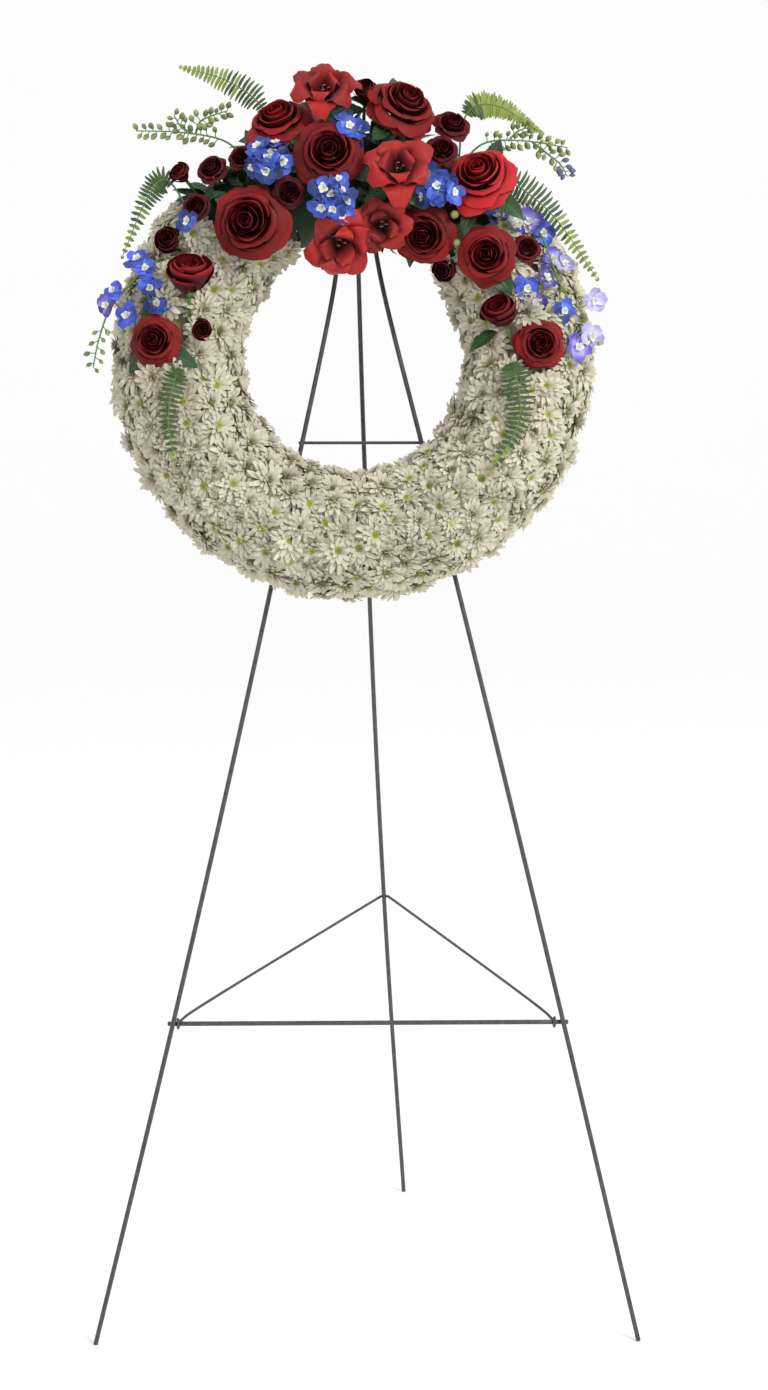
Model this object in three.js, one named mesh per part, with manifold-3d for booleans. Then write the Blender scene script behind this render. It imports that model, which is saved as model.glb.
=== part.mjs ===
// Funeral wreath on a folding wire easel: a ring of white daisy chrysanthemums with a crescent of red roses,
// gladiolus blooms, blue delphinium, fern fronds and greens over its top.
// Millimetres, +Z up, X to the viewer's right, Y away from the viewer, origin on the floor under the middle.
import * as THREE from 'three';
import { mergeVertices } from 'three/addons/utils/BufferGeometryUtils.js';
import Module from 'manifold-3d';

const wasm = await Module();
wasm.setup();

// Driving dimensions
const GAP = 0.35; // air left between pieces that touch
const LEG_LENGTH = 1524; // 60 inch easel wire
const LEG_RADIUS = 3;
const FOOT_SPREAD = 346; // half the distance between the front feet
const FRONT_FOOT_Y = -256;
const REAR_FOOT = { x: 61, y: 333 };
const TOP_X = -10.5; // the top stands a little left of the middle of the feet
const MIDDLE = { x: 0, y: 38 }; // the middle of the whole, from the floor point under the hinge's own plane
const BRACE_RADIUS = 1.9;
const RING_RADIUS = 221; // centreline of the wreath ring
const RING_DROP = 235; // ring centre below the easel's hinge, along the front legs
const RING_X = TOP_X - 5; // the ring hangs a little left of the hinge
const FOAM_HALF_WIDTH = 31;
const BACKING = { halfWidth: 37, back: 3.6, front: 8 };
const FOAM_FRONT = 62;
const RING_SIDES = 24;
const SECTION_CENTRE = 40; // how far forward the middle of the flower cover's section lies
const STALK_RADIUS = 2.4; // of a bloom, in a plain hole in what it stands in
const HEAD_RADIUS = 38; // a chrysanthemum head, larger than life
const GREENS_REACH = 48; // degrees each side of the top that the greens cover, the chrysanthemums the rest

const TOP_Z = Math.sqrt(LEG_LENGTH ** 2 - FOOT_SPREAD ** 2 - FRONT_FOOT_Y ** 2);
const LEAN = Math.atan2(-FRONT_FOOT_Y, TOP_Z);
const FORWARD = new THREE.Vector3(0, 0, 1); // the wreath's own frame: x right, y up the legs, z to the viewer
const UP = new THREE.Vector3(0, 1, 0);
const V = (x, y, z) => new THREE.Vector3(x, y, z);
const radians = THREE.MathUtils.degToRad;

const material = (color, roughness, metalness = 0) =>
  new THREE.MeshStandardMaterial({ color, roughness, metalness });
const MATERIALS = {
  wire: material(0x23261f, 0.45, 0.6),
  backing: material(0x1f4a2a, 0.6),
  foam: material(0x2f6b3c, 0.95),
  greens: material(0x2c5a2b, 0.7),
  fern: material(0x5c7d2c, 0.7),
  chrysanthemum: material(0xe9e6d2, 0.8),
  rose: material(0x8c0f1c, 0.7),
  gladiolus: material(0xb81c1c, 0.7),
  delphinium: material(0x3c5fc4, 0.7),
};

// Repeatable random numbers in 0..1
function seeded(seed) {
  return () => {
    seed = (seed + 0x6d2b79f5) | 0;
    let t = Math.imul(seed ^ (seed >>> 15), 1 | seed);
    t = (t + Math.imul(t ^ (t >>> 7), 61 | t)) ^ t;
    return ((t ^ (t >>> 14)) >>> 0) / 4294967296;
  };
}

// A closed geometry as a solid, turned face out
function solidOf(geometry) {
  const bare = geometry.index ? geometry.toNonIndexed() : geometry.clone();
  const points = new THREE.BufferGeometry().setAttribute('position', bare.getAttribute('position'));
  const merged = mergeVertices(points, 1e-3);
  const index = merged.index.array;
  const triangles = [];
  for (let i = 0; i < index.length; i += 3) {
    const [a, b, c] = [index[i], index[i + 1], index[i + 2]];
    if (a !== b && b !== c && a !== c) triangles.push(a, b, c);
  }
  const make = (list) =>
    new wasm.Manifold(
      new wasm.Mesh({
        numProp: 3,
        vertProperties: merged.getAttribute('position').array,
        triVerts: new Uint32Array(list),
      }),
    );
  const made = make(triangles);
  return made.volume() > 0 ? made : make(triangles.reverse());
}

function geometryOf(solid) {
  const mesh = solid.getMesh();
  const positions = new Float32Array(mesh.numVert * 3);
  for (let i = 0; i < mesh.numVert; i++) {
    positions.set(mesh.vertProperties.subarray(i * mesh.numProp, i * mesh.numProp + 3), i * 3);
  }
  return new THREE.BufferGeometry()
    .setAttribute('position', new THREE.BufferAttribute(positions, 3))
    .setIndex(new THREE.BufferAttribute(mesh.triVerts, 1));
}

const join = (solids) => wasm.Manifold.union(solids);

// The largest body of a solid: loose scraps that a cut leaves are dropped
function whole(solid) {
  const bodies = solid.decompose();
  return bodies.reduce((best, body) => (body.volume() > best.volume() ? body : best));
}

// Geometry built along +Y, turned to point along a direction and moved to a place
function aimed(geometry, place, direction, roll = 0) {
  const turn = new THREE.Quaternion().setFromUnitVectors(UP, direction.clone().normalize());
  turn.multiply(new THREE.Quaternion().setFromAxisAngle(UP, roll));
  return geometry.applyMatrix4(new THREE.Matrix4().compose(place, turn, V(1, 1, 1)));
}

function roundSection(radius, sides) {
  const corners = Array.from({ length: sides }, (_, i) => {
    const a = (2 * Math.PI * (i + 0.5)) / sides;
    return new THREE.Vector2(radius * Math.cos(a), radius * Math.sin(a));
  });
  return new THREE.Shape(corners);
}

// A wire bent at each of its points, with one straight run between each two
class Bent extends THREE.Curve {
  constructor(points) {
    super();
    this.points = points;
  }
  getPoint(t, target = new THREE.Vector3()) {
    const last = this.points.length - 1;
    const at = THREE.MathUtils.clamp(t, 0, 1) * last;
    const i = Math.min(Math.floor(at), last - 1);
    return target.copy(this.points[i]).lerp(this.points[i + 1], at - i);
  }
  getPointAt(t, target) {
    return this.getPoint(t, target);
  }
  getTangentAt(t, target) {
    return this.getTangent(t, target);
  }
}

function tube(points, radius, sides) {
  const options = { steps: points.length - 1, bevelEnabled: false, extrudePath: new Bent(points) };
  return new THREE.ExtrudeGeometry(roundSection(radius, sides), options);
}

// The same wire drawn as a smooth curve in a number of runs
function smooth(points, runs) {
  return new THREE.CatmullRomCurve3(points, false, 'centripetal').getSpacedPoints(runs);
}

function block(low, high) {
  const size = high.clone().sub(low);
  return new THREE.BoxGeometry(size.x, size.y, size.z).translate(
    (low.x + high.x) / 2,
    (low.y + high.y) / 2,
    (low.z + high.z) / 2,
  );
}

// A lathe form whose rings swell and dip round the axis: swell(ring, angle) gives [radius share, rise]
function petalled(profile, sectors, swell) {
  const points = profile.map(([r, y]) => new THREE.Vector2(r, y));
  const geometry = new THREE.LatheGeometry(points, sectors);
  const position = geometry.getAttribute('position');
  for (let i = 0; i < position.count; i++) {
    const ring = i % profile.length;
    if (profile[ring][0] === 0) continue;
    const column = Math.floor(i / profile.length) % sectors;
    const [share, rise] = swell(ring, (2 * Math.PI * column) / sectors, column);
    const a = (2 * Math.PI * column) / sectors;
    const r = profile[ring][0] * share;
    position.setXYZ(i, r * Math.sin(a), profile[ring][1] + rise, r * Math.cos(a));
  }
  return geometry;
}

// Easel: three wires of one length, hinged together at the top
const TOP = V(TOP_X, 0, TOP_Z);
const LOWER_BAR = 0.274; // crossbar's place up the front legs
const UPPER_BAR = 0.774;
const BRACE_HOLD = 0.321; // brace's place up the rear leg
const HINGE = { eye: 6.2, bore: 3.2, pin: 2.6, width: 8 };
// The wires curl back into their eyes, so the pin lies behind the front legs
const PIN_BACK = HINGE.eye - LEG_RADIUS;
const PIN = TOP.clone().add(V(0, PIN_BACK * Math.cos(LEAN), -PIN_BACK * Math.sin(LEAN)));
const FLOOR_CUT = block(V(-500, -500, -30), V(500, 500, 0));

const alongLeg = (foot, share) => foot.clone().lerp(TOP, share);

function hingeEye(x) {
  const profile = [
    [HINGE.bore, -HINGE.width / 2],
    [HINGE.eye, -HINGE.width / 2],
    [HINGE.eye, HINGE.width / 2],
    [HINGE.bore, HINGE.width / 2],
    [HINGE.bore, -HINGE.width / 2],
  ];
  const ring = new THREE.LatheGeometry(profile.map(([r, y]) => new THREE.Vector2(r, y)), 12);
  return ring.rotateZ(Math.PI / 2).translate(PIN.x + x, PIN.y, PIN.z);
}

const EYE_STEP = HINGE.width + GAP;
const FEET = {
  left: V(-FOOT_SPREAD, FRONT_FOOT_Y, 0),
  right: V(FOOT_SPREAD, FRONT_FOOT_Y, 0),
  rear: V(REAR_FOOT.x, REAR_FOOT.y, 0),
};
const EYES = { left: -EYE_STEP, right: EYE_STEP, rear: 0 };
// Each leg is bowed a little sideways: how far, at four shares of its length
const BOW_SHARES = [0.25, 0.5, 0.75, 0.9];
const LEG_BOW = { left: [9, 13.5, 13, 11], right: [1, 0, -3.5, -6.5], rear: [-7, -9, -6, -2.5] };
const SHOULDER = 40; // the length under the hinge that stays straight

function bowAt(name, share) {
  const shares = [0, ...BOW_SHARES, 1 - SHOULDER / LEG_LENGTH, 1];
  const bows = [0, ...LEG_BOW[name], 0, 0];
  const i = Math.max(1, shares.findIndex((s) => s >= share));
  return bows[i - 1] + ((bows[i] - bows[i - 1]) * (share - shares[i - 1])) / (shares[i] - shares[i - 1]);
}

// The middle of a front leg's wire at a share of its length
function onLeg(name, share) {
  const eye = TOP.clone().setX(TOP.x + EYES[name]);
  return FEET[name].clone().lerp(eye, share).add(V(bowAt(name, share), 0, 0));
}

// One leg: a slightly bowed wire from its foot to an eye on the hinge pin, cut flat at the floor
function leg(name, head) {
  const [foot, eyeX] = [FEET[name], EYES[name]];
  const neck = head.clone().setX(TOP.x + eyeX);
  const down = foot.clone().sub(neck).normalize();
  const points = [
    foot.clone().addScaledVector(down, 10),
    ...BOW_SHARES.map((share, i) => foot.clone().lerp(neck, share).add(V(LEG_BOW[name][i], 0, 0))),
    neck.clone().addScaledVector(down, SHOULDER),
    neck.clone().addScaledVector(down, HINGE.bore + 1),
  ];
  const wire = solidOf(tube(points, LEG_RADIUS, 8));
  const bore = new THREE.CylinderGeometry(HINGE.bore, HINGE.bore, HINGE.width + 2, 12);
  bore.rotateZ(Math.PI / 2).translate(PIN.x + eyeX, PIN.y, PIN.z);
  return join([wire, solidOf(hingeEye(eyeX))]).subtract(solidOf(bore)).subtract(solidOf(FLOOR_CUT));
}

// Straight wire welded across the back of the front legs
function crossbar(share, radius, overhang) {
  const back = V(0, Math.cos(LEAN), -Math.sin(LEAN)).multiplyScalar(LEG_RADIUS + radius + GAP);
  const left = onLeg('left', share).add(back).add(V(-overhang, 0, 0));
  const right = onLeg('right', share).add(back).add(V(overhang, 0, 0));
  return solidOf(tube([left, right], radius, 8));
}

function hingePin() {
  const reach = 1.5 * EYE_STEP + 1.5;
  const pin = new THREE.CylinderGeometry(HINGE.pin, HINGE.pin, 2 * reach, 12);
  const heads = [-1, 1].map((side) =>
    new THREE.CylinderGeometry(4.4, 4.4, 2, 12).translate(0, side * reach, 0),
  );
  const parts = [pin, ...heads].map((g) => solidOf(g.rotateZ(Math.PI / 2).translate(PIN.x, PIN.y, PIN.z)));
  return join(parts);
}

// Brace: one wire with an eye round the lower crossbar at each end and its bend behind the rear leg
const BAR_BACK = LEG_RADIUS * 2 + GAP;
const BRACE_EYE_X = 240;
const BRACE_EYE_RADIUS = LEG_RADIUS + GAP + BRACE_RADIUS + 0.4;
const BRACE_PIVOT = alongLeg(V(0, FRONT_FOOT_Y, 0), LOWER_BAR)
  .setX(0)
  .add(V(0, BAR_BACK * Math.cos(LEAN), -BAR_BACK * Math.sin(LEAN)));
const BRACE_HELD = alongLeg(FEET.rear, BRACE_HOLD).add(V(bowAt('rear', BRACE_HOLD), 0, 0));
const BRACE_BEND = { side: 7.6, before: 3, corner: 5.2, behind: 4.5, back: 6.1 }; // round the rear leg

function brace() {
  const eyes = [-1, 1].map((side) => {
    const ring = new THREE.TorusGeometry(BRACE_EYE_RADIUS, BRACE_RADIUS, 6, 10);
    return ring.rotateY(Math.PI / 2).translate(side * BRACE_EYE_X, BRACE_PIVOT.y, BRACE_PIVOT.z);
  });
  const start = (side) => V(side * BRACE_EYE_X, BRACE_PIVOT.y + BRACE_EYE_RADIUS, BRACE_PIVOT.z);
  const near = (x, y) => BRACE_HELD.clone().add(V(x, y, 0));
  const half = (side) => [
    start(side),
    start(side).lerp(BRACE_HELD, 0.06).add(V(0, 0, 5)),
    near(side * BRACE_BEND.side, -BRACE_BEND.before),
    near(side * BRACE_BEND.corner, BRACE_BEND.behind),
  ];
  const points = [...half(-1), near(0, BRACE_BEND.back), ...half(1).reverse()];
  const wire = tube(points, BRACE_RADIUS, 6);
  return join([wire, ...eyes].map(solidOf));
}

// Wreath base: green floral foam ring glued in a plastic tray, pinned to the front legs by wire staples
function ringOf(halfWidth, back, front) {
  const [inner, outer] = [RING_RADIUS - halfWidth, RING_RADIUS + halfWidth];
  const profile = [
    [inner, back],
    [outer, back],
    [outer, front],
    [inner, front],
    [inner, back],
  ];
  const ring = new THREE.LatheGeometry(profile.map(([r, y]) => new THREE.Vector2(r, y)), RING_SIDES);
  return ring.rotateX(Math.PI / 2);
}

function foamRing(grow = 0) {
  const [inner, outer] = [RING_RADIUS - FOAM_HALF_WIDTH - grow, RING_RADIUS + FOAM_HALF_WIDTH + grow];
  const [back, front, bevel] = [BACKING.front + GAP - 2 * grow, FOAM_FRONT + grow, 12];
  const profile = [
    [inner, back],
    [outer, back],
    [outer, front - bevel],
    [outer - bevel, front],
    [inner + bevel, front],
    [inner, front - bevel],
    [inner, back],
  ];
  const ring = new THREE.LatheGeometry(profile.map(([r, y]) => new THREE.Vector2(r, y)), RING_SIDES);
  return ring.rotateX(Math.PI / 2);
}

// Where a front leg crosses the ring: x of the leg at a height, both in the wreath's frame
function legX(side, y) {
  const share = 1 - (RING_DROP - y) / (TOP_Z / Math.cos(LEAN));
  return onLeg(side < 0 ? 'left' : 'right', share).x - RING_X;
}

const STAPLE = { radius: 1.1, reach: 34, y: { upper: 205, lower: -190 } };
function stapleGeometry(x, y, radius) {
  const half = LEG_RADIUS + STAPLE.radius + 1.8;
  const back = -(LEG_RADIUS + STAPLE.radius + 0.6);
  const points = [
    V(x - half, y, STAPLE.reach),
    V(x - half, y, back + 3),
    V(x - half + 2, y, back),
    V(x + half - 2, y, back),
    V(x + half, y, back + 3),
    V(x + half, y, STAPLE.reach),
  ];
  return tube(points, radius, 5);
}
// One prong's plain hole through the tray and into the foam
function prongHoles(x, y) {
  const half = LEG_RADIUS + STAPLE.radius + 1.8;
  const radius = STAPLE.radius + GAP + 0.6;
  return [-half, half].map((dx) => {
    const hole = new THREE.CylinderGeometry(radius, radius, STAPLE.reach + 1, 6);
    return solidOf(hole.rotateX(Math.PI / 2).translate(x + dx, y, (STAPLE.reach + 1) / 2 + 0.5));
  });
}

// The section of what covers the foam, as a curve in (outwards, forwards) from the ring's centreline
class RingArc extends THREE.Curve {
  constructor(from, to) {
    super();
    this.from = radians(from);
    this.to = radians(to);
  }
  getPoint(t, target = new THREE.Vector3()) {
    const a = this.from + (this.to - this.from) * t;
    return target.set(RING_RADIUS * Math.sin(a), RING_RADIUS * Math.cos(a), 0);
  }
}

function coverCore(from, to, halfWidth, front, steps) {
  const back = BACKING.front + 2;
  const rounds = 6;
  const outline = [new THREE.Vector2(-back, -halfWidth * 0.8), new THREE.Vector2(-back, halfWidth * 0.8)];
  for (let i = 0; i <= rounds; i++) {
    const a = radians(90 - (180 * i) / rounds);
    const forward = SECTION_CENTRE + (front - SECTION_CENTRE) * Math.cos(a);
    outline.push(new THREE.Vector2(-forward, halfWidth * Math.sin(a)));
  }
  const options = { steps, bevelEnabled: false, extrudePath: new RingArc(from, to) };
  return new THREE.ExtrudeGeometry(new THREE.Shape(outline), options);
}

// A place on the cover: angle clockwise from the top, tilt across the section (0 faces the viewer), distance out
function onCover(angle, tilt, distance) {
  const [a, t] = [radians(angle), radians(tilt)];
  const outwards = V(Math.sin(a), Math.cos(a), 0);
  const facing = outwards.clone().multiplyScalar(Math.sin(t)).addScaledVector(FORWARD, Math.cos(t));
  const place = outwards.clone().multiplyScalar(RING_RADIUS).addScaledVector(FORWARD, SECTION_CENTRE);
  return { place: place.addScaledVector(facing, distance), facing };
}

// The way a bloom at a place looks: away from the ring's section, and a little more to the viewer
function facingAt(place, toViewer) {
  const flat = V(place.x, place.y, 0);
  const centre = flat.clone().setLength(RING_RADIUS).setZ(SECTION_CENTRE);
  return place.clone().sub(centre).normalize().addScaledVector(FORWARD, toViewer).normalize();
}

// Daisy chrysanthemum head: nine rays round a button
function daisy(radius) {
  const profile = [
    [0, 9],
    [radius, 3],
    [0, -18],
  ];
  return petalled(profile, 14, (ring, angle, column) => (column % 2 ? [0.66, -1] : [1, 0]));
}

// Rose: a wound bud inside rings of petals, whose lips stand above the gaps between them, on its calyx and stem
const ROSE_RINGS = [
  [0, 0.34],
  [0.12, 0.46],
  [0.2, 0.26],
  [0.4, 0.44],
  [0.48, 0.18],
  [0.7, 0.34],
  [0.77, 0.06],
  [1, 0.16],
  [0.86, -0.1],
  [0.3, -0.5],
];
function rose(radius, stem, petals, rings) {
  const profile = rings.map((k) => [ROSE_RINGS[k][0] * radius, ROSE_RINGS[k][1] * radius]);
  const neck = -0.55 * radius - 3;
  profile.push([STALK_RADIUS, neck - stem], [0, neck - stem]);
  const last = rings.length - 1;
  return petalled(profile, 2 * petals, (ring, angle, column) => {
    if (ring === 0 || ring >= last) return [1, 0];
    const wave = (column + Math.floor(ring / 2)) % 2 ? 1 : -1;
    return [1 + 0.08 * wave, radius * 0.05 * wave];
  });
}
const LARGE_RINGS = [0, 1, 2, 3, 4, 5, 6, 7, 9];
const SMALL_RINGS = [0, 1, 2, 5, 6, 7, 9];

// The room a rose or gladiolus bloom takes, as a plain bud form a little larger than it
function bloomRoom(radius, height, shoulder, stem) {
  const profile = [
    [0, height + 1],
    [radius * shoulder, height + 0.6],
    [radius * 1.2 + 0.6, radius * 0.2],
    [radius * 1.08 + 0.6, -radius * 0.12],
    [radius * 0.38 + 1.2, -radius * 0.52 - 0.4],
    [STALK_RADIUS + 0.6, -0.55 * radius - 3 - stem - 0.4],
    [0, -0.55 * radius - 3 - stem - 0.4],
  ];
  return petalled(profile, 8, () => [1, 0]);
}

// Gladiolus bloom: six pointed petals flaring from a throat
function gladiolus(radius, stem) {
  const neck = -0.55 * radius - 3;
  const profile = [
    [0, -0.22 * radius],
    [0.3 * radius, 0.02 * radius],
    [0.72 * radius, 0.24 * radius],
    [1.06 * radius, 0.2 * radius],
    [0.68 * radius, 0.16 * radius],
    [0.24 * radius, -0.3 * radius],
    [STALK_RADIUS, neck - stem],
    [0, neck - stem],
  ];
  const cut = [1, 0.95, 0.86, 0.62, 0.84, 0.98, 1, 1];
  return petalled(profile, 12, (ring, angle, column) => {
    const lift = ring > 0 && ring < 5 && column % 4 === 0 ? 0.1 * radius : 0;
    return column % 2 ? [cut[ring], lift - (ring === 3 ? 0.08 * radius : 0)] : [1, lift];
  });
}

// Delphinium floret: five round petals on a pointed spur
function floret(radius, spur) {
  const profile = [
    [0, 0.5],
    [radius, 3.5],
    [0, -spur],
  ];
  return petalled(profile, 10, (ring, angle, column) => (column % 2 ? [0.62, -1.5] : [1, 0]));
}

// Pointed leaf along +Y, folded on its midrib, with two teeth a side
function leafBlade(length, width) {
  const half = width / 2;
  const [root, tip] = [V(0, 0, 0), V(0, length, -length * 0.12)];
  const rim = [
    V(half * 0.8, length * 0.28, 1.5),
    V(half, length * 0.5, 1),
    V(half * 0.55, length * 0.8, -1),
  ];
  const left = rim.map((p) => V(-p.x, p.y, p.z)).reverse();
  const loop = [root, ...rim, tip, ...left];
  const [above, below] = [V(0, length * 0.5, 1.2), V(0, length * 0.5, -1.6)];
  const corners = [];
  loop.forEach((p, i) => {
    const q = loop[(i + 1) % loop.length];
    corners.push(above, p, q, below, q, p);
  });
  return new THREE.BufferGeometry().setFromPoints(corners);
}

// Fern frond: leaflets cut to the rib in one thin arched blade, on a stalk that is bare for a share of its length
const FROND = { thickness: 1.3, rib: 1.7, stalk: 1.5 };
function frond(points, halfWidth, bare, grow = 0) {
  const path = new THREE.CatmullRomCurve3(points, false, 'centripetal');
  const across = (t) => path.getTangent(t).cross(FORWARD).normalize();
  const thick = FROND.thickness / 2 + grow;
  const place = (t, out, drop) =>
    path.getPoint(Math.min(1, t)).addScaledVector(across(Math.min(1, t)), out).addScaledVector(FORWARD, -drop);
  const rib = (t, side) => place(t, side * (FROND.rib + grow), 0);
  const leafletTip = (t, side) => {
    const share = (t - bare) / (1 - bare);
    const length = halfWidth * Math.min(1, 0.4 + 4 * share) * (1 - 0.85 * Math.max(0, (share - 0.3) / 0.7) ** 1.5);
    return place(t + 0.03, side * (length + grow), 0.14 * length);
  };
  const corners = [];
  const lift = (p, k) => p.clone().addScaledVector(FORWARD, k * thick);
  const face = (a, b, c) => {
    corners.push(lift(a, 1), lift(b, 1), lift(c, 1), lift(a, -1), lift(c, -1), lift(b, -1));
  };
  const wall = (p, q) => {
    corners.push(lift(p, 1), lift(q, -1), lift(p, -1), lift(p, 1), lift(q, 1), lift(q, -1));
  };
  const at = (i) => bare + ((1 - bare) * i) / LEAFLET_PAIRS;
  for (let i = 0; i < LEAFLET_PAIRS; i++) {
    const [a, b] = [at(i), at(i + 1)];
    const tips = [-1, 1].map((side) => leafletTip((a + b) / 2, side));
    face(rib(a, -1), rib(b, -1), rib(b, 1));
    face(rib(a, -1), rib(b, 1), rib(a, 1));
    face(rib(a, 1), rib(b, 1), tips[1]);
    face(rib(a, -1), tips[0], rib(b, -1));
    wall(rib(a, 1), tips[1]);
    wall(tips[1], rib(b, 1));
    wall(rib(b, -1), tips[0]);
    wall(tips[0], rib(a, -1));
  }
  wall(rib(bare, -1), rib(bare, 1));
  wall(rib(1, 1), rib(1, -1));
  const stalk = [0, 0.5, 1].map((share) => path.getPoint(share * (bare + 0.02)));
  const blade = new THREE.BufferGeometry().setFromPoints(corners);
  return join([blade, tube(stalk, FROND.stalk + grow, 5)].map(solidOf));
}

// Places in the wreath's own frame: [x, y, z, across]
const ROSES = [
  [-127, 156, 148, 96],
  [-29, 239, 162, 88],
  [63, 305, 124, 92],
  [-93, 286, 120, 80],
  [157, 214, 140, 92],
  [88, 142, 136, 76],
  [165, 116, 142, 74],
  [-201, 86, 138, 72],
  [-245, 13, 126, 64],
  [184, 42, 134, 58],
  [232, 9, 122, 64],
];
const SMALL_ROSES = [
  [-174, 228, 112, 42],
  [-212, 224, 92, 30],
  [-194, 180, 118, 38],
  [-78, 192, 152, 42],
  [-226, 138, 112, 36],
  [-188, 26, 128, 32],
  [124, 282, 112, 44],
  [16, 322, 112, 40],
  [126, 168, 122, 40],
  [216, 128, 120, 38],
  [116, 104, 112, 38],
];
const GLADIOLI = [
  [-35, 318, 132, 88],
  [55, 214, 176, 92],
  [-17, 133, 136, 94],
];
const LOWER_FLORET = { on: 1, at: [32, 160, 147, 68] }; // a smaller one on the second gladiolus's spike
// Second heads on the stems of two spray roses: [spray rose, place]
const SECOND_HEADS = new Map([
  [1, [-137, 239, 128, 36]],
  [7, [110, 248, 128, 38]],
]);
// Large roses that are turned from the way their place faces: sideways and up
const ROSE_TURN = { 1: [-0.3, 0.05], 3: [0.35, 0.2], 4: [-0.2, 0.4], 5: [-0.4, 0.3], 8: [-0.3, 0.6], 10: [-0.3, 0.55] };
// Delphinium heads sunk among the roses: [x, y, z, half width, florets]
const DELPHINIUM_HEADS = [
  [-105, 231, 150, 31, 6],
  [-24, 184, 166, 30, 6],
  [-2, 266, 150, 21, 4],
  [104, 196, 162, 25, 5],
];
// Delphinium sprays: the stem's points, and the florets' places along it
const DELPHINIUM_SPRAYS = {
  left: {
    stem: [[-200, 112, 74], [-240, 116, 106], [-274, 88, 108], [-302, 56, 98], [-316, 20, 94], [-324, -14, 86]],
    florets: [
      [-204, 160, 132],
      [-258, 105, 112],
      [-251, 81, 114],
      [-243, 61, 112],
      [-298, 78, 106],
      [-306, 60, 106],
      [-280, 47, 110],
    ],
  },
  right: {
    stem: [[194, 152, 74], [230, 152, 110], [258, 86, 110], [300, 14, 92]],
    florets: [
      [180, 168, 112],
      [200, 163, 112],
      [220, 164, 106],
      [264, 111, 108],
      [240, 92, 116],
      [216, 79, 120],
      [227, 61, 120],
      [263, 52, 112],
      [302, 66, 100],
      [298, 22, 100],
      [281, 8, 104],
    ],
  },
};
// Fern fronds: stem points, half width, bare share of the stalk
const FERNS = [
  { points: [[-112, 226, 72], [-106, 300, 78], [-152, 344, 76], [-218, 367, 64]], half: 24, bare: 0.42 },
  { points: [[-184, 143, 76], [-228, 216, 92], [-256, 196, 88], [-291, 124, 58]], half: 21, bare: 0.32 },
  { points: [[-208, -8, 72], [-217, -28, 134], [-228, -84, 136], [-218, -152, 124]], half: 17, bare: 0.28 },
  { points: [[132, 214, 74], [142, 300, 84], [182, 314, 80], [243, 281, 64]], half: 17, bare: 0.38 },
  { points: [[166, 160, 74], [186, 216, 92], [248, 178, 88], [312, 96, 56]], half: 25, bare: 0.26 },
  { points: [[188, -4, 72], [198, -24, 134], [204, -88, 138], [166, -156, 124]], half: 22, bare: 0.26 },
];
const LEAFLET_PAIRS = 9;
// Green sprigs of delphinium buds that grow out of the greens: stem points
const SPRIGS = [
  [[-126, 236, 78], [-158, 268, 84], [-212, 281, 76], [-272, 287, 58]],
  [[136, 240, 84], [166, 266, 86], [214, 271, 76], [272, 266, 58]],
];

const pieces = [];
const rooms = [];

// Adds a node after cutting it clear of the rooms that earlier pieces take
function add(name, finish, solid, roomSolids = []) {
  const near = rooms.filter(({ box }) => box.intersectsBox(boxOf(solid)));
  const cut = near.length ? solid.subtract(join(near.map((r) => r.solid))) : solid;
  pieces.push({ name, finish, solid: whole(cut) });
  roomSolids.forEach((room) => rooms.push({ solid: room, box: boxOf(room) }));
}

function boxOf(solid) {
  const { min, max } = solid.boundingBox();
  return new THREE.Box3(V(...min), V(...max));
}

const random = seeded(20);

function addBase() {
  const staples = [];
  for (const [row, y] of Object.entries(STAPLE.y)) {
    for (const side of [-1, 1]) staples.push({ row, side, x: legX(side, y), y });
  }
  const holes = join(staples.flatMap(({ x, y }) => prongHoles(x, y)));
  const tray = solidOf(ringOf(BACKING.halfWidth, BACKING.back, BACKING.front));
  add('backing_tray', 'backing', tray.subtract(holes));
  add('foam_ring', 'foam', solidOf(foamRing()).subtract(holes));
  staples.forEach(({ row, side, x, y }) => {
    const name = `staple_${row}_${side < 0 ? 'left' : 'right'}`;
    add(name, 'wire', solidOf(stapleGeometry(x, y, STAPLE.radius)));
  });
}

// Stem length that takes a bloom's stalk well into the cover under it
function stemTo(place, radius, coverDistance) {
  const flat = V(place.x, place.y, 0).setLength(RING_RADIUS).setZ(SECTION_CENTRE);
  const distance = place.distanceTo(flat);
  return Math.max(8, distance - coverDistance - 0.55 * radius + 16);
}

const COVER_DISTANCE = { greens: 66, chrysanthemum: 58 };
const coverAt = (place) => {
  const angle = Math.abs(THREE.MathUtils.radToDeg(Math.atan2(place.x, place.y)));
  return angle < GREENS_REACH ? COVER_DISTANCE.greens : COVER_DISTANCE.chrysanthemum;
};

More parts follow.
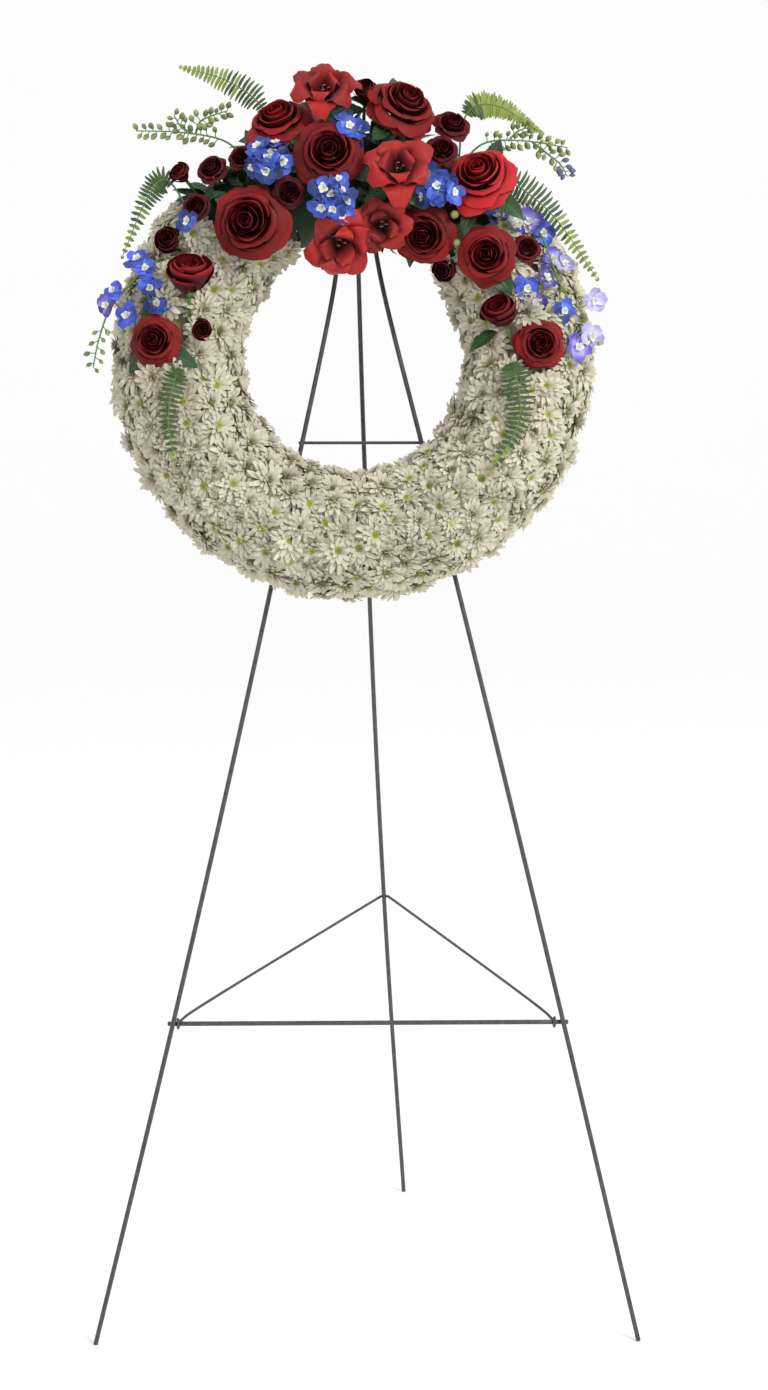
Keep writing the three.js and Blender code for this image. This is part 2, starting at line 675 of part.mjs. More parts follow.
function addBlooms() {
  ROSES.forEach(([x, y, z, across], i) => {
    const [place, radius] = [V(x, y, z), across / 2];
    const [sideways, up] = ROSE_TURN[i + 1] ?? [0, 0];
    const [facing, roll] = [facingAt(place, 0.8).add(V(sideways, up, 0)).normalize(), random() * 6];
    const stem = stemTo(place, radius, coverAt(place));
    const body = aimed(rose(radius, stem, 5, LARGE_RINGS), place, facing, roll);
    const room = aimed(bloomRoom(radius, radius * 0.52, 0.7, stem), place, facing);
    add(`rose_${i + 1}`, 'rose', solidOf(body), [solidOf(room)]);
  });
  GLADIOLI.forEach((upper, i) => {
    const florets = i === LOWER_FLORET.on ? [upper, LOWER_FLORET.at] : [upper];
    const [bodies, taken] = [[], []];
    florets.forEach(([x, y, z, across]) => {
      const [place, radius] = [V(x, y, z), across / 2];
      const facing = facingAt(place, 1.1);
      const stem = stemTo(place, radius, coverAt(place));
      bodies.push(solidOf(aimed(gladiolus(radius, stem), place, facing, i * 0.7)));
      taken.push(solidOf(aimed(bloomRoom(radius, radius * 0.36, 1.16, stem), place, facing)));
    });
    add(`gladiolus_${i + 1}`, 'gladiolus', join(bodies), taken);
  });
  SMALL_ROSES.forEach((first, i) => {
    const [bodies, taken, necks] = [[], [], []];
    const roll = random() * 6;
    [first, SECOND_HEADS.get(i + 1)].filter(Boolean).forEach(([x, y, z, across]) => {
      const [place, radius] = [V(x, y, z), across / 2];
      const facing = facingAt(place, 0.5);
      const stem = stemTo(place, radius, coverAt(place));
      bodies.push(solidOf(aimed(rose(radius, stem, 4, SMALL_RINGS), place, facing, roll)));
      taken.push(solidOf(aimed(bloomRoom(radius, radius * 0.52, 0.7, stem), place, facing)));
      necks.push(place.clone().addScaledVector(facing, -0.55 * radius));
    });
    if (necks.length > 1) bodies.push(solidOf(tube(necks, STALK_RADIUS, 6)));
    add(`spray_rose_${i + 1}`, 'rose', join(bodies), taken);
  });
}

const FLORET_RADIUS = 13;

// Delphinium head: florets whose spurs root in one short spike of buds on a stem
function delphiniumHead(place, facing, half, florets, stem) {
  const side = facing.clone().cross(UP).normalize();
  const over = side.clone().cross(facing).normalize();
  const foot = place.clone().addScaledVector(facing, -stem);
  const spike = place.clone().addScaledVector(facing, 6);
  const parts = [tube([foot, spike], STALK_RADIUS, 5)];
  for (let k = 0; k < florets; k++) {
    const [a, share] = [k * 2.4, Math.sqrt(k / (florets - 1))];
    const out = side.clone().multiplyScalar(Math.cos(a)).addScaledVector(over, Math.sin(a));
    const spot = place.clone().addScaledVector(out, share * (half - 9)).addScaledVector(facing, 14 - 12 * share);
    const look = facing.clone().addScaledVector(out, 0.9 * share).normalize();
    const root = place.clone().addScaledVector(facing, -4 - 14 * share);
    parts.push(aimed(floret(FLORET_RADIUS, 6), spot, look, a));
    if (k) parts.push(tube([root, spot], 1.5, 3));
  }
  return join(parts.map(solidOf));
}

// Delphinium spray: a long stem, with florets on short stalks from the nearest place on it
function delphiniumSpray(stem, florets) {
  const places = smooth(stem, 16);
  const parts = [tube(smooth(stem, 6), 1.8, 5)];
  florets.forEach((spot, k) => {
    const root = places.reduce((best, p) => (p.distanceTo(spot) < best.distanceTo(spot) ? p : best));
    const look = facingAt(spot, 1).add(V(0.4 * Math.cos(2 * k), 0.4 * Math.sin(2 * k), 0)).normalize();
    parts.push(aimed(floret(FLORET_RADIUS, 5), spot.clone(), look, k));
    parts.push(tube([root, spot], 1.2, 3));
  });
  return join(parts.map(solidOf));
}

function addDelphinium() {
  DELPHINIUM_HEADS.forEach(([x, y, z, half, florets], i) => {
    const place = V(x, y, z);
    const facing = facingAt(place, 1);
    const stem = stemTo(place, 20, COVER_DISTANCE.greens) + 12;
    const room = aimed(bloomRoom(half, 16, 0.8, stem - 0.55 * half - 3), place, facing);
    const body = delphiniumHead(place, facing, half, florets, stem);
    add(`delphinium_head_${i + 1}`, 'delphinium', body, [solidOf(room)]);
  });
  Object.entries(DELPHINIUM_SPRAYS).forEach(([side, { stem, florets }]) => {
    const points = stem.map((p) => V(...p));
    const body = delphiniumSpray(points, florets.map((p) => V(...p)));
    const room = tube(smooth(points, 6), 3, 5);
    add(`delphinium_spray_${side}`, 'delphinium', body, [solidOf(room)]);
  });
}

function addFerns() {
  FERNS.forEach(({ points, half, bare }, i) => {
    const stem = points.map((p) => V(...p));
    add(`fern_${i + 1}`, 'fern', frond(stem, half, bare), [frond(stem, half, bare, 0.5)]);
  });
}

// A budded sprig: thin stem with small buds in turn on each side
function sprig(points) {
  const stem = points.map((p) => V(...p));
  const path = new THREE.CatmullRomCurve3(stem, false, 'centripetal');
  const parts = [tube(smooth(stem, 5), 1.4, 4)];
  for (let k = 0; k < 4; k++) {
    const t = 0.55 + k * 0.13;
    const out = path.getTangent(t).cross(FORWARD).normalize().multiplyScalar(k % 2 ? 1 : -1);
    out.addScaledVector(FORWARD, 0.3).normalize();
    const root = path.getPoint(t);
    const bud = new THREE.OctahedronGeometry(3.6).scale(0.8, 1.3, 0.8);
    parts.push(aimed(bud, root.clone().addScaledVector(out, 9 - k * 0.4), out));
    parts.push(tube([root, root.clone().addScaledVector(out, 9 - k * 0.4)], 0.9, 3));
  }
  return parts;
}

// Keeps a sector of the cover between the planes through the ring's axis at two angles, and off the foam
function sector(solid, from, to) {
  const wall = (angle, side) => {
    const beyond = block(V(0, -30, -60), V(side * 450, 600, 400));
    return solidOf(beyond.translate(-side * (GAP / 2), 0, 0).rotateZ(-radians(angle)));
  };
  return solid.subtract(join([wall(to, 1), wall(from, -1), solidOf(foamRing(GAP))]));
}

const GREENS_SECTORS = 4;
const LEAVES_EACH = 6;
function addGreens() {
  const span = (2 * GREENS_REACH) / GREENS_SECTORS;
  for (let s = 0; s < GREENS_SECTORS; s++) {
    const from = -GREENS_REACH + s * span;
    const middle = s === 1 || s === 2;
    const parts = [coverCore(from - 1, from + span + 1, middle ? 68 : 60, middle ? 106 : 96, 2)];
    for (let k = 0; k < LEAVES_EACH; k++) {
      const angle = from + span * (0.15 + 0.7 * random());
      const tilt = -94 + (188 * (k + random())) / LEAVES_EACH;
      const { place, facing } = onCover(angle, tilt, 50);
      const lean = V(random() - 0.5, random() - 0.5, random() * 0.4).multiplyScalar(1.3);
      const blade = leafBlade(52 + 22 * random(), 26 + 8 * random());
      parts.push(aimed(blade, place, facing.clone().add(lean), random() * 6));
    }
    const cover = sector(join(parts.map(solidOf)), from, from + span);
    const sprigs = { 0: SPRIGS[0], 3: SPRIGS[1] }[s];
    const body = sprigs ? join([cover, ...sprig(sprigs).map(solidOf)]) : cover;
    add(`greens_${s + 1}`, 'greens', body);
  }
}

const MUM_SECTORS = 6;
const MUM_SPACING = 75;
const MUM_TILTS = [-86, -28, 28, 86];
const MUM_DISTANCE = 71;
const clearOfBlooms = (place) =>
  [...ROSES, ...GLADIOLI, ...SMALL_ROSES].every(([x, y, z, across]) => place.distanceTo(V(x, y, z)) > across / 2 + 22);

function addChrysanthemums() {
  const total = 360 - 2 * GREENS_REACH;
  const span = total / MUM_SECTORS;
  const heads = [];
  for (const tilt of MUM_TILTS) {
    const radius = RING_RADIUS + MUM_DISTANCE * Math.sin(radians(tilt));
    const count = Math.round((radians(total) * radius) / MUM_SPACING);
    for (let k = 0; k < count; k++) {
      const angle = GREENS_REACH + (total * (k + 0.5 + 0.2 * (random() - 0.5))) / count;
      const { place, facing } = onCover(angle, tilt + 8 * (random() - 0.5), MUM_DISTANCE + 5 * random());
      const look = facing.clone().add(V(random() - 0.5, random() - 0.5, 0).multiplyScalar(0.25));
      if (clearOfBlooms(place)) heads.push({ angle, body: aimed(daisy(HEAD_RADIUS), place, look, random() * 6) });
    }
  }
  for (let s = 0; s < MUM_SECTORS; s++) {
    const from = GREENS_REACH + s * span;
    const own = heads.filter(({ angle }) => angle >= from - 4 && angle < from + span + 4);
    const parts = [coverCore(from - 1, from + span + 1, 62, 94, 3), ...own.map(({ body }) => body)];
    add(`chrysanthemums_${s + 1}`, 'chrysanthemum', sector(join(parts.map(solidOf)), from, from + span));
  }
}

function easelPieces() {
  const wires = [
    ['leg_left', leg('left', TOP)],
    ['leg_right', leg('right', TOP)],
    ['leg_rear', leg('rear', PIN)],
    ['crossbar_lower', crossbar(LOWER_BAR, LEG_RADIUS, 6)],
    ['crossbar_upper', crossbar(UPPER_BAR, 2, 4)],
    ['hinge_pin', hingePin()],
    ['brace', brace()],
  ];
  return wires.map(([name, solid]) => ({ name, finish: 'wire', solid }));
}

function meshOf({ name, finish, solid }) {
  const mesh = new THREE.Mesh(geometryOf(solid), MATERIALS[finish]);
  mesh.name = name;
  return mesh;
}

addBase();
addBlooms();
addDelphinium();
addFerns();
addGreens();
addChrysanthemums();

const easel = new THREE.Group();
easel.add(...easelPieces().map(meshOf));

// The wreath leans back on the front legs
const wreath = new THREE.Group();
wreath.add(...pieces.map(meshOf));
wreath.position.set(RING_X, -RING_DROP * Math.sin(LEAN), TOP_Z - RING_DROP * Math.cos(LEAN));
wreath.rotation.x = Math.PI / 2 - LEAN;

const part = new THREE.Group();
part.add(easel, wreath);
part.children.forEach((group) => group.position.sub(V(MIDDLE.x, MIDDLE.y, 0)));

export default part;
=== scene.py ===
import math

import bpy
import numpy as np
from mathutils import Matrix, Vector


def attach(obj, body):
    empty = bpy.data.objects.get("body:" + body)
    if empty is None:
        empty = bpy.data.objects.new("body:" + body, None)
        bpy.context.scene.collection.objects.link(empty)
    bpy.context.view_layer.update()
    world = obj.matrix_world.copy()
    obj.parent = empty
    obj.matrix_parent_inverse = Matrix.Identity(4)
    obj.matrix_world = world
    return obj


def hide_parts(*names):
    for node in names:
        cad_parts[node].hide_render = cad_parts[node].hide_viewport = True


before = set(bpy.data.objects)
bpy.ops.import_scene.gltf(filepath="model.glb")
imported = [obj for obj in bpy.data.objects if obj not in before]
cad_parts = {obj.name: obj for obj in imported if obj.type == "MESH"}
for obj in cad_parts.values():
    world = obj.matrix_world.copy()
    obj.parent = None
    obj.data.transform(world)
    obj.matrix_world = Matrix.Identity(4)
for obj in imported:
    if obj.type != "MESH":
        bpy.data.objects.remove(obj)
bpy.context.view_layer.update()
scene = bpy.context.scene


# The view: a person standing in front of the easel, eyes a little below the top of the wreath.
# The photograph is 768 by 1390 pixels, and its lens was found from the easel's feet, bars and hinge.
PHOTO_HEIGHT = 1390
FOCAL_PIXELS = 2923
SENSOR = 36.0

viewer = bpy.data.cameras.new("viewer")
viewer.sensor_width = SENSOR
viewer.lens = FOCAL_PIXELS / PHOTO_HEIGHT * SENSOR
viewer.clip_end = 100
camera = bpy.data.objects.new("viewer", viewer)
camera.location = (-0.0445, -3.838, 1.411)
camera.rotation_euler = (math.radians(90 - 9.21), 0, math.radians(-1.06))
scene.collection.objects.link(camera)
scene.camera = camera


# Easel: three legs of one length of painted steel wire, with two crossbars welded behind the front pair.
# The front legs and bars are one frame, and the rear leg swings in towards it on the hinge pin at the top.
LEG = 1.524
LEG_RADIUS = 0.003
LOWER_BAR = 0.274
BAR_GAP = 0.00035
FOOT_SPREAD = 0.346
FOOT_FORWARD = 0.256
TOP_HEIGHT = math.sqrt(LEG**2 - FOOT_SPREAD**2 - FOOT_FORWARD**2)
LEAN = math.atan2(FOOT_FORWARD, TOP_HEIGHT)
MIDDLE = 0.038
BEHIND = Vector((0, math.cos(LEAN), -math.sin(LEAN)))
TOP = Vector((-0.0105, -MIDDLE, TOP_HEIGHT))
PIN = TOP + BEHIND * 0.0032
FOOT = {
    "left": Vector((-FOOT_SPREAD, -FOOT_FORWARD - MIDDLE, 0)),
    "right": Vector((FOOT_SPREAD, -FOOT_FORWARD - MIDDLE, 0)),
    "rear": Vector((0.061, 0.333 - MIDDLE, 0)),
}
EYE_STEP = 0.00835
EYE_X = {"left": -EYE_STEP, "right": EYE_STEP, "rear": 0}
# Each leg is bowed a little sideways: how far, in millimetres, at four shares of its length
BOW_SHARES = (0.25, 0.5, 0.75, 0.9)
BOW = {"left": (9, 13.5, 13, 11), "right": (1, 0, -3.5, -6.5), "rear": (-7, -9, -6, -2.5)}
SHOULDER = 0.040
EYE_RADIUS = 0.0062
EYE_BORE = 0.0032


def spread(x, y, z):
    """A grid of points from its three coordinates."""
    return np.stack(np.broadcast_arrays(x, y, z), axis=-1)


def sheet(grid, along=None, tone=0.5, wrap=False, finish=0):
    """A grid of points as a surface of quads, with a note on each point for its finish."""
    rows, columns = grid.shape[:2]
    along = np.linspace(0, 1, rows)[:, None] if along is None else along
    index = np.arange(rows * columns).reshape(rows, columns)
    right = np.roll(index, -1, axis=1)
    if not wrap:
        index, right = index[:, :-1], right[:, :-1]
    faces = np.stack([index[:-1], right[:-1], right[1:], index[1:]], axis=-1).reshape(-1, 4)
    return {
        "points": grid.reshape(-1, 3),
        "notes": spread(along, np.linspace(-1, 1, columns)[None, :], tone).reshape(-1, 3),
        "faces": faces,
        "finish": np.full(len(faces), finish),
    }


def gathered(parts):
    """Several surfaces as one."""
    starts = np.cumsum([0] + [len(p["points"]) for p in parts])
    whole = {key: np.concatenate([p[key] for p in parts]) for key in ("points", "notes", "finish")}
    whole["faces"] = np.concatenate([p["faces"] + start for p, start in zip(parts, starts)])
    return whole


def carried(part, matrix, tone=None):
    """A copy of a surface, moved by a matrix, and made lighter or darker."""
    m = np.array(matrix)
    notes = part["notes"]
    if tone is not None:
        notes = notes.copy()
        notes[:, 2] = np.clip(notes[:, 2] + tone, 0, 1)
    return {**part, "points": part["points"] @ m[:3, :3].T + m[:3, 3], "notes": notes}


def grown(name, part, finishes, nodes, body="front"):
    """A surface as a piece of the object, standing for its CAD nodes."""
    mesh = bpy.data.meshes.new(name)
    count = len(part["faces"])
    mesh.vertices.add(len(part["points"]))
    mesh.vertices.foreach_set("co", part["points"].ravel())
    mesh.loops.add(count * 4)
    mesh.loops.foreach_set("vertex_index", part["faces"].ravel())
    mesh.polygons.add(count)
    mesh.polygons.foreach_set("loop_start", np.arange(count) * 4)
    mesh.polygons.foreach_set("use_smooth", np.ones(count, dtype=bool))
    for finish in finishes:
        mesh.materials.append(finish)
    mesh.polygons.foreach_set("material_index", part["finish"].astype(np.int32))
    note = mesh.attributes.new("petal", "FLOAT_VECTOR", "POINT")
    note.data.foreach_set("vector", part["notes"].ravel())
    mesh.update(calc_edges=True)
    mesh.validate()
    thing = bpy.data.objects.new(name, mesh)
    scene.collection.objects.link(thing)
    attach(thing, body)
    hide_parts(*nodes)


def rounded(points, times=2):
    """A wire's path with its corners cut round."""
    path = [np.array(p, dtype=float) for p in points]
    for _ in range(times):
        cut = [path[0]]
        for a, b in zip(path, path[1:]):
            cut += [a * 0.75 + b * 0.25, a * 0.25 + b * 0.75]
        path = cut + [path[-1]]
    return np.array(path)


def curved(points, count):
    """A path through points as one smooth curve."""
    p = np.array([np.array(q, dtype=float) for q in points])
    p = np.vstack([2 * p[0] - p[1], p, 2 * p[-1] - p[-2]])
    path = []
    for u in np.linspace(0, len(p) - 3 - 1e-9, count):
        i, t = int(u), u - int(u)
        a, b, c, d = p[i : i + 4]
        path.append(0.5 * (2 * b + (c - a) * t + (2 * a - 5 * b + 4 * c - d) * t**2 + (3 * b - a - 3 * c + d) * t**3))
    return np.array(path)


def rod(path, radius, sides=12, tone=0.5, finish=0):
    """A round rod along a path, with domed ends; its radius may change along it."""
    path = np.asarray(path, dtype=float)
    radius = np.broadcast_to(np.asarray(radius, dtype=float), (len(path),))
    first, last = radius[0], radius[-1]
    start = (path[0] - path[1]) / np.linalg.norm(path[0] - path[1])
    end = (path[-1] - path[-2]) / np.linalg.norm(path[-1] - path[-2])
    # Two smaller rings close each end
    path = np.vstack([
        path[0] + start * first * 0.35, path[0] + start * first * 0.25, path,
        path[-1] + end * last * 0.25, path[-1] + end * last * 0.35,
    ])
    radius = np.concatenate([[first * 0.02, first * 0.7], radius, [last * 0.7, last * 0.02]])
    tangent = np.gradient(path, axis=0)
    tangent /= np.maximum(np.linalg.norm(tangent, axis=1), 1e-12)[:, None]
    side = np.cross(tangent[0], (0, 0, 1) if abs(tangent[0][2]) < 0.9 else (1, 0, 0))
    turn = np.linspace(0, 2 * math.pi, sides, endpoint=False)[:, None]
    rings = []
    for p, t, r in zip(path, tangent, radius):
        side = side - t * np.dot(side, t)
        side /= np.linalg.norm(side)
        rings.append(p + r * (np.cos(turn) * side + np.sin(turn) * np.cross(t, side)))
    return sheet(np.array(rings), tone=tone, wrap=True, finish=finish)


def turned(profile, sides, matrix, finish=0):
    """A closed profile of (radius, height) turned round the Z axis."""
    radius, height = np.array(profile + [profile[0]], dtype=float).T[..., None]
    a = np.linspace(0, 2 * math.pi, sides, endpoint=False)
    return carried(sheet(spread(radius * np.cos(a), radius * np.sin(a), height), wrap=True, finish=finish), matrix)


def node(tree, kind, sockets, **settings):
    """A shader node's outputs. Each of its sockets is given a value, or the output that feeds it."""
    made = tree.nodes.new("ShaderNode" + kind)
    for key, value in settings.items():
        setattr(made, key, value)
    for key, value in sockets.items():
        if isinstance(value, bpy.types.NodeSocket):
            tree.links.new(value, made.inputs[key])
        else:
            made.inputs[key].default_value = value
    return made.outputs


def finish_of(name, roughness, **constants):
    """A material with its shader, whose even values are set on the shader itself."""
    material = bpy.data.materials.new(name)
    material.use_nodes = True
    shader = material.node_tree.nodes["Principled BSDF"]
    shader.inputs["Roughness"].default_value = roughness
    for key, value in constants.items():
        shader.inputs[key.replace("_", " ")].default_value = value
    return material, material.node_tree, shader.inputs


def pattern(tree, kind, output, **sockets):
    """A texture that runs through the solid."""
    place = node(tree, "TexCoord", {})["Object"]
    return node(tree, "Tex" + kind, {"Vector": place, **sockets})[output]


def mottled(tree, shader, over, dark, light, low=0.0, high=1.0):
    """Colours the surface from dark to light over a pattern."""
    tint = tree.nodes.new("ShaderNodeValToRGB")
    for end, place, colour in zip(tint.color_ramp.elements, (low, high), (dark, light)):
        end.position = place
        end.color = (*colour, 1)
    tree.links.new(over, tint.inputs["Fac"])
    tree.links.new(tint.outputs["Color"], shader["Base Color"])


def embossed(tree, shader, height, strength, depth):
    bump = node(tree, "Bump", {"Strength": strength, "Distance": depth, "Height": height})
    tree.links.new(bump["Normal"], shader["Normal"])


def paint():
    """Dip-coated paint: dark olive grey, a little uneven, rubbed lighter in spots."""
    material, tree, shader = finish_of("easel_paint", 0.42, Coat_Weight=0.25, Coat_Roughness=0.25)
    drips = pattern(tree, "Noise", "Fac", Scale=140, Detail=4)
    mottled(tree, shader, drips, (0.022, 0.025, 0.019), (0.062, 0.066, 0.052), 0.3, 0.75)
    rubbed = node(tree, "MapRange", {"Value": drips, "To Min": 0.32, "To Max": 0.58})
    tree.links.new(rubbed["Result"], shader["Roughness"])
    embossed(tree, shader, drips, 0.15, 0.0004)
    return material


EASEL_PAINT = paint()
SIDEWAYS = Matrix.Rotation(math.pi / 2, 4, "Y")


def hinge_eye(x):
    """The flattened end of a leg, bored for the pin, its edges broken."""
    half, inner, outer = 0.004, 0.0005, 0.0008
    profile = [
        (EYE_BORE, -half + 0.0006), (EYE_BORE + inner, -half), (EYE_RADIUS - outer, -half),
        (EYE_RADIUS, -half + outer), (EYE_RADIUS, half - outer), (EYE_RADIUS - outer, half),
        (EYE_BORE + inner, half), (EYE_BORE, half - 0.0006),
    ]
    return turned(profile, 28, Matrix.Translation(PIN + Vector((x, 0, 0))) @ SIDEWAYS)


def leg(name, head):
    foot, neck = FOOT[name], Vector((TOP.x + EYE_X[name], head.y, head.z))
    down = (foot - neck).normalized()
    bowed = [foot.lerp(neck, t) + Vector((bow / 1000, 0, 0)) for t, bow in zip(BOW_SHARES, BOW[name])]
    tip = foot - down * (LEG_RADIUS * 0.3)
    path = curved([tip, *bowed, neck + down * SHOULDER, neck + down * 0.0045], 48)
    path[0][2] = max(path[0][2], LEG_RADIUS * 0.36)
    wire = rod(path, LEG_RADIUS, 16)
    wire["points"][:, 2] = np.maximum(wire["points"][:, 2], 0)
    return gathered([wire, hinge_eye(EYE_X[name])])


def bow_at(name, share):
    return Vector((np.interp(share, (0, *BOW_SHARES, 1 - SHOULDER / LEG, 1), (0, *BOW[name], 0, 0)) / 1000, 0, 0))


def on_leg(name, share):
    """The middle of a front leg's wire at a share of its length."""
    return FOOT[name].lerp(TOP + Vector((EYE_X[name], 0, 0)), share) + bow_at(name, share)


def weld(place, size, rng):
    """A small bead of weld between a leg and a bar."""
    a = np.linspace(0, 2 * math.pi, 12, endpoint=False)
    b = np.linspace(-math.pi / 2, math.pi / 2, 7)[:, None]
    lump = (1 + 0.18 * rng.standard_normal((7, 12))) * size
    bead = spread(np.cos(b) * np.cos(a) * lump * 1.25, np.cos(b) * np.sin(a) * lump, np.sin(b) * lump)
    return carried(sheet(bead, wrap=True), Matrix.Translation(place))


def crossbar(share, radius, overhang, rng):
    back = BEHIND * (LEG_RADIUS + radius + BAR_GAP)
    left, right = on_leg("left", share), on_leg("right", share)
    edge = Vector((overhang, 0, 0))
    bar = rod(np.linspace(left + back - edge, right + back + edge, 12), radius, 14)
    beads = [weld(p + BEHIND * (LEG_RADIUS + 0.0002), radius * 1.05, rng) for p in (left, right)]
    return gathered([bar, *beads])


easel_rng = np.random.default_rng(3)
for side, head, body in (("left", TOP, "front"), ("right", TOP, "front"), ("rear", PIN, "rear_leg")):
    grown(f"easel_leg_{side}", leg(side, head), [EASEL_PAINT], [f"leg_{side}"], body)
for bar, share, radius, overhang in (("lower", LOWER_BAR, 0.003, 0.006), ("upper", 0.774, 0.002, 0.004)):
    wire = crossbar(share, radius, overhang, easel_rng)
    grown(f"easel_crossbar_{bar}", wire, [EASEL_PAINT], [f"crossbar_{bar}"])


# Hinge pin: a plain steel rivet through the three eyes, its ends upset into low domed heads.
# It is painted with the frame.
def hinge_pin():
    reach, shank, rim, dome = 1.5 * EYE_STEP + 0.0015, 0.0026, 0.0043, 0.0030
    half = [
        (shank, reach - 0.001), (rim, reach - 0.0007), (rim, reach), (dome, reach + 0.0008), (0.0001, reach + 0.001),
    ]
    profile = [(r, -z) for r, z in half[::-1]] + half
    return turned(profile, 24, Matrix.Translation(PIN) @ SIDEWAYS)


grown("easel_hinge_pin", hinge_pin(), [EASEL_PAINT], ["hinge_pin"])


# Brace: one thinner wire bent to a V. Its ends are curled into eyes round the lower crossbar,
# and its rounded bend hooks behind the rear leg and keeps it from sliding back.
BRACE_RADIUS = 0.0019
BRACE_EYE_X = 0.240
BRACE_EYE = LEG_RADIUS + BAR_GAP + BRACE_RADIUS + 0.0004
BRACE_PIVOT = FOOT["left"].lerp(TOP, LOWER_BAR) + BEHIND * (2 * LEG_RADIUS + BAR_GAP)
BRACE_PIVOT.x = 0
BRACE_HELD = FOOT["rear"].lerp(TOP, 0.321) + bow_at("rear", 0.321)


def brace():
    def near(x, y):
        return BRACE_HELD + Vector((x, y, 0))

    def arm(side):
        start = BRACE_PIVOT + Vector((side * BRACE_EYE_X, BRACE_EYE, 0))
        rise = start.lerp(BRACE_HELD, 0.06) + Vector((0, 0, 0.005))
        shoulder = near(side * 0.0076, -0.003)
        return [start, rise, rise.lerp(shoulder, 0.96), shoulder, near(side * 0.0052, 0.0045)]

    wires = [rod(rounded(arm(-1) + [near(0, 0.0061)] + arm(1)[::-1], 3), BRACE_RADIUS, 12)]
    a = np.linspace(0, 2 * math.pi * 1.04, 30)
    for side in (-1, 1):
        x = BRACE_PIVOT.x + side * (BRACE_EYE_X + 0.0004 * a / math.pi)
        loop = spread(x, BRACE_PIVOT.y + BRACE_EYE * np.cos(a), BRACE_PIVOT.z - BRACE_EYE * np.sin(a))
        wires.append(rod(loop, BRACE_RADIUS, 10))
    return gathered(wires)


grown("easel_brace", brace(), [EASEL_PAINT], ["brace"], "brace")


# Wreath tray: the flat green plastic ring that the foam is moulded on, with a rolled rim and shallow ribs.
# The wreath has its own frame, in millimetres: x to the right, y up the legs, z to the viewer.
RING_RADIUS = 221
RING_DROP = 0.235
RING_X = -0.005
RING_CENTRE = TOP + Vector((RING_X, 0, 0)) - Vector((0, math.sin(LEAN), math.cos(LEAN))) * RING_DROP
WREATH = Matrix.Translation(RING_CENTRE) @ Matrix.Rotation(math.pi / 2 - LEAN, 4, "X") @ Matrix.Scale(0.001, 4)
TRAY_HALF_WIDTH = 37


def moulded_plastic():
    material, tree, shader = finish_of("tray_plastic", 0.5, Specular_IOR_Level=0.4)
    clouds = pattern(tree, "Noise", "Fac", Scale=18)
    mottled(tree, shader, clouds, (0.012, 0.075, 0.032), (0.025, 0.12, 0.055), 0.35, 0.7)
    embossed(tree, shader, pattern(tree, "Noise", "Fac", Scale=900), 0.2, 0.0003)
    return material


def tray():
    inner, outer, back, front, step = RING_RADIUS - TRAY_HALF_WIDTH, RING_RADIUS + TRAY_HALF_WIDTH, 3.6, 8, 4.6
    profile = [(inner, 4.2), (inner + 1, back), (inner + 3, back), (inner + 4, step)]
    for r in np.linspace(inner + 9, outer - 9, 5):
        profile += [(r - 2.2, step), (r - 1.2, 3.7), (r + 1.2, 3.7), (r + 2.2, step)]
    profile += [(outer - 4, step), (outer - 3, back), (outer - 1, back), (outer, 4.2), (outer, front), (inner, front)]
    return turned(profile, 144, WREATH)


grown("wreath_tray", tray(), [moulded_plastic()], ["backing_tray"])


# Foam: a ring of soaked green floral foam moulded on the tray, bevelled towards the viewer.
# It shows only where the flowers part at the back edges.
def foam_flesh():
    material, tree, shader = finish_of("soaked_foam", 0.95, Specular_IOR_Level=0.15)
    cells = pattern(tree, "Voronoi", "Distance", Scale=700)
    mottled(tree, shader, cells, (0.02, 0.10, 0.03), (0.06, 0.22, 0.08))
    embossed(tree, shader, cells, 0.5, 0.0008)
    return material


def foam():
    inner, outer, back, front, bevel = RING_RADIUS - 31, RING_RADIUS + 31, 8.35, 62, 12
    profile = [
        (inner, back), (outer, back), (outer, front - bevel), (outer - 5, front - 4), (outer - bevel, front),
        (inner + bevel, front), (inner + 5, front - 4), (inner, front - bevel),
    ]
    return turned(profile, 120, WREATH)


grown("wreath_foam", foam(), [foam_flesh()], ["foam_ring"])


# Greening pins: hairpins of wire pushed over each front leg, through the tray and into the foam.
# Four of them hold the whole wreath on the easel.
PIN_WIRE = 1.1
PIN_ROWS = {"upper": 205, "lower": -190}


def leg_x(side, y):
    """Where a front leg passes behind the ring, at a height in the wreath's frame."""
    share = 1 - (RING_DROP * 1000 - y) / (TOP_HEIGHT * 1000 / math.cos(LEAN))
    return (on_leg("left" if side < 0 else "right", share).x - RING_CENTRE.x) * 1000


def greening_pin(x, y):
    half, back = 3 + PIN_WIRE + 1.8, -(3 + PIN_WIRE + 0.6)
    corners = [(x - half, y, 34), (x - half, y, back + 3), (x - half + 2, y, back)]
    corners += [(x + half - 2, y, back), (x + half, y, back + 3), (x + half, y, 34)]
    return carried(rod(rounded(corners, 2), PIN_WIRE, 10), WREATH)


for row, y in PIN_ROWS.items():
    for side, name in ((-1, "left"), (1, "right")):
        pin = greening_pin(leg_x(side, y), y)
        grown(f"greening_pin_{row}_{name}", pin, [EASEL_PAINT], [f"staple_{row}_{name}"])


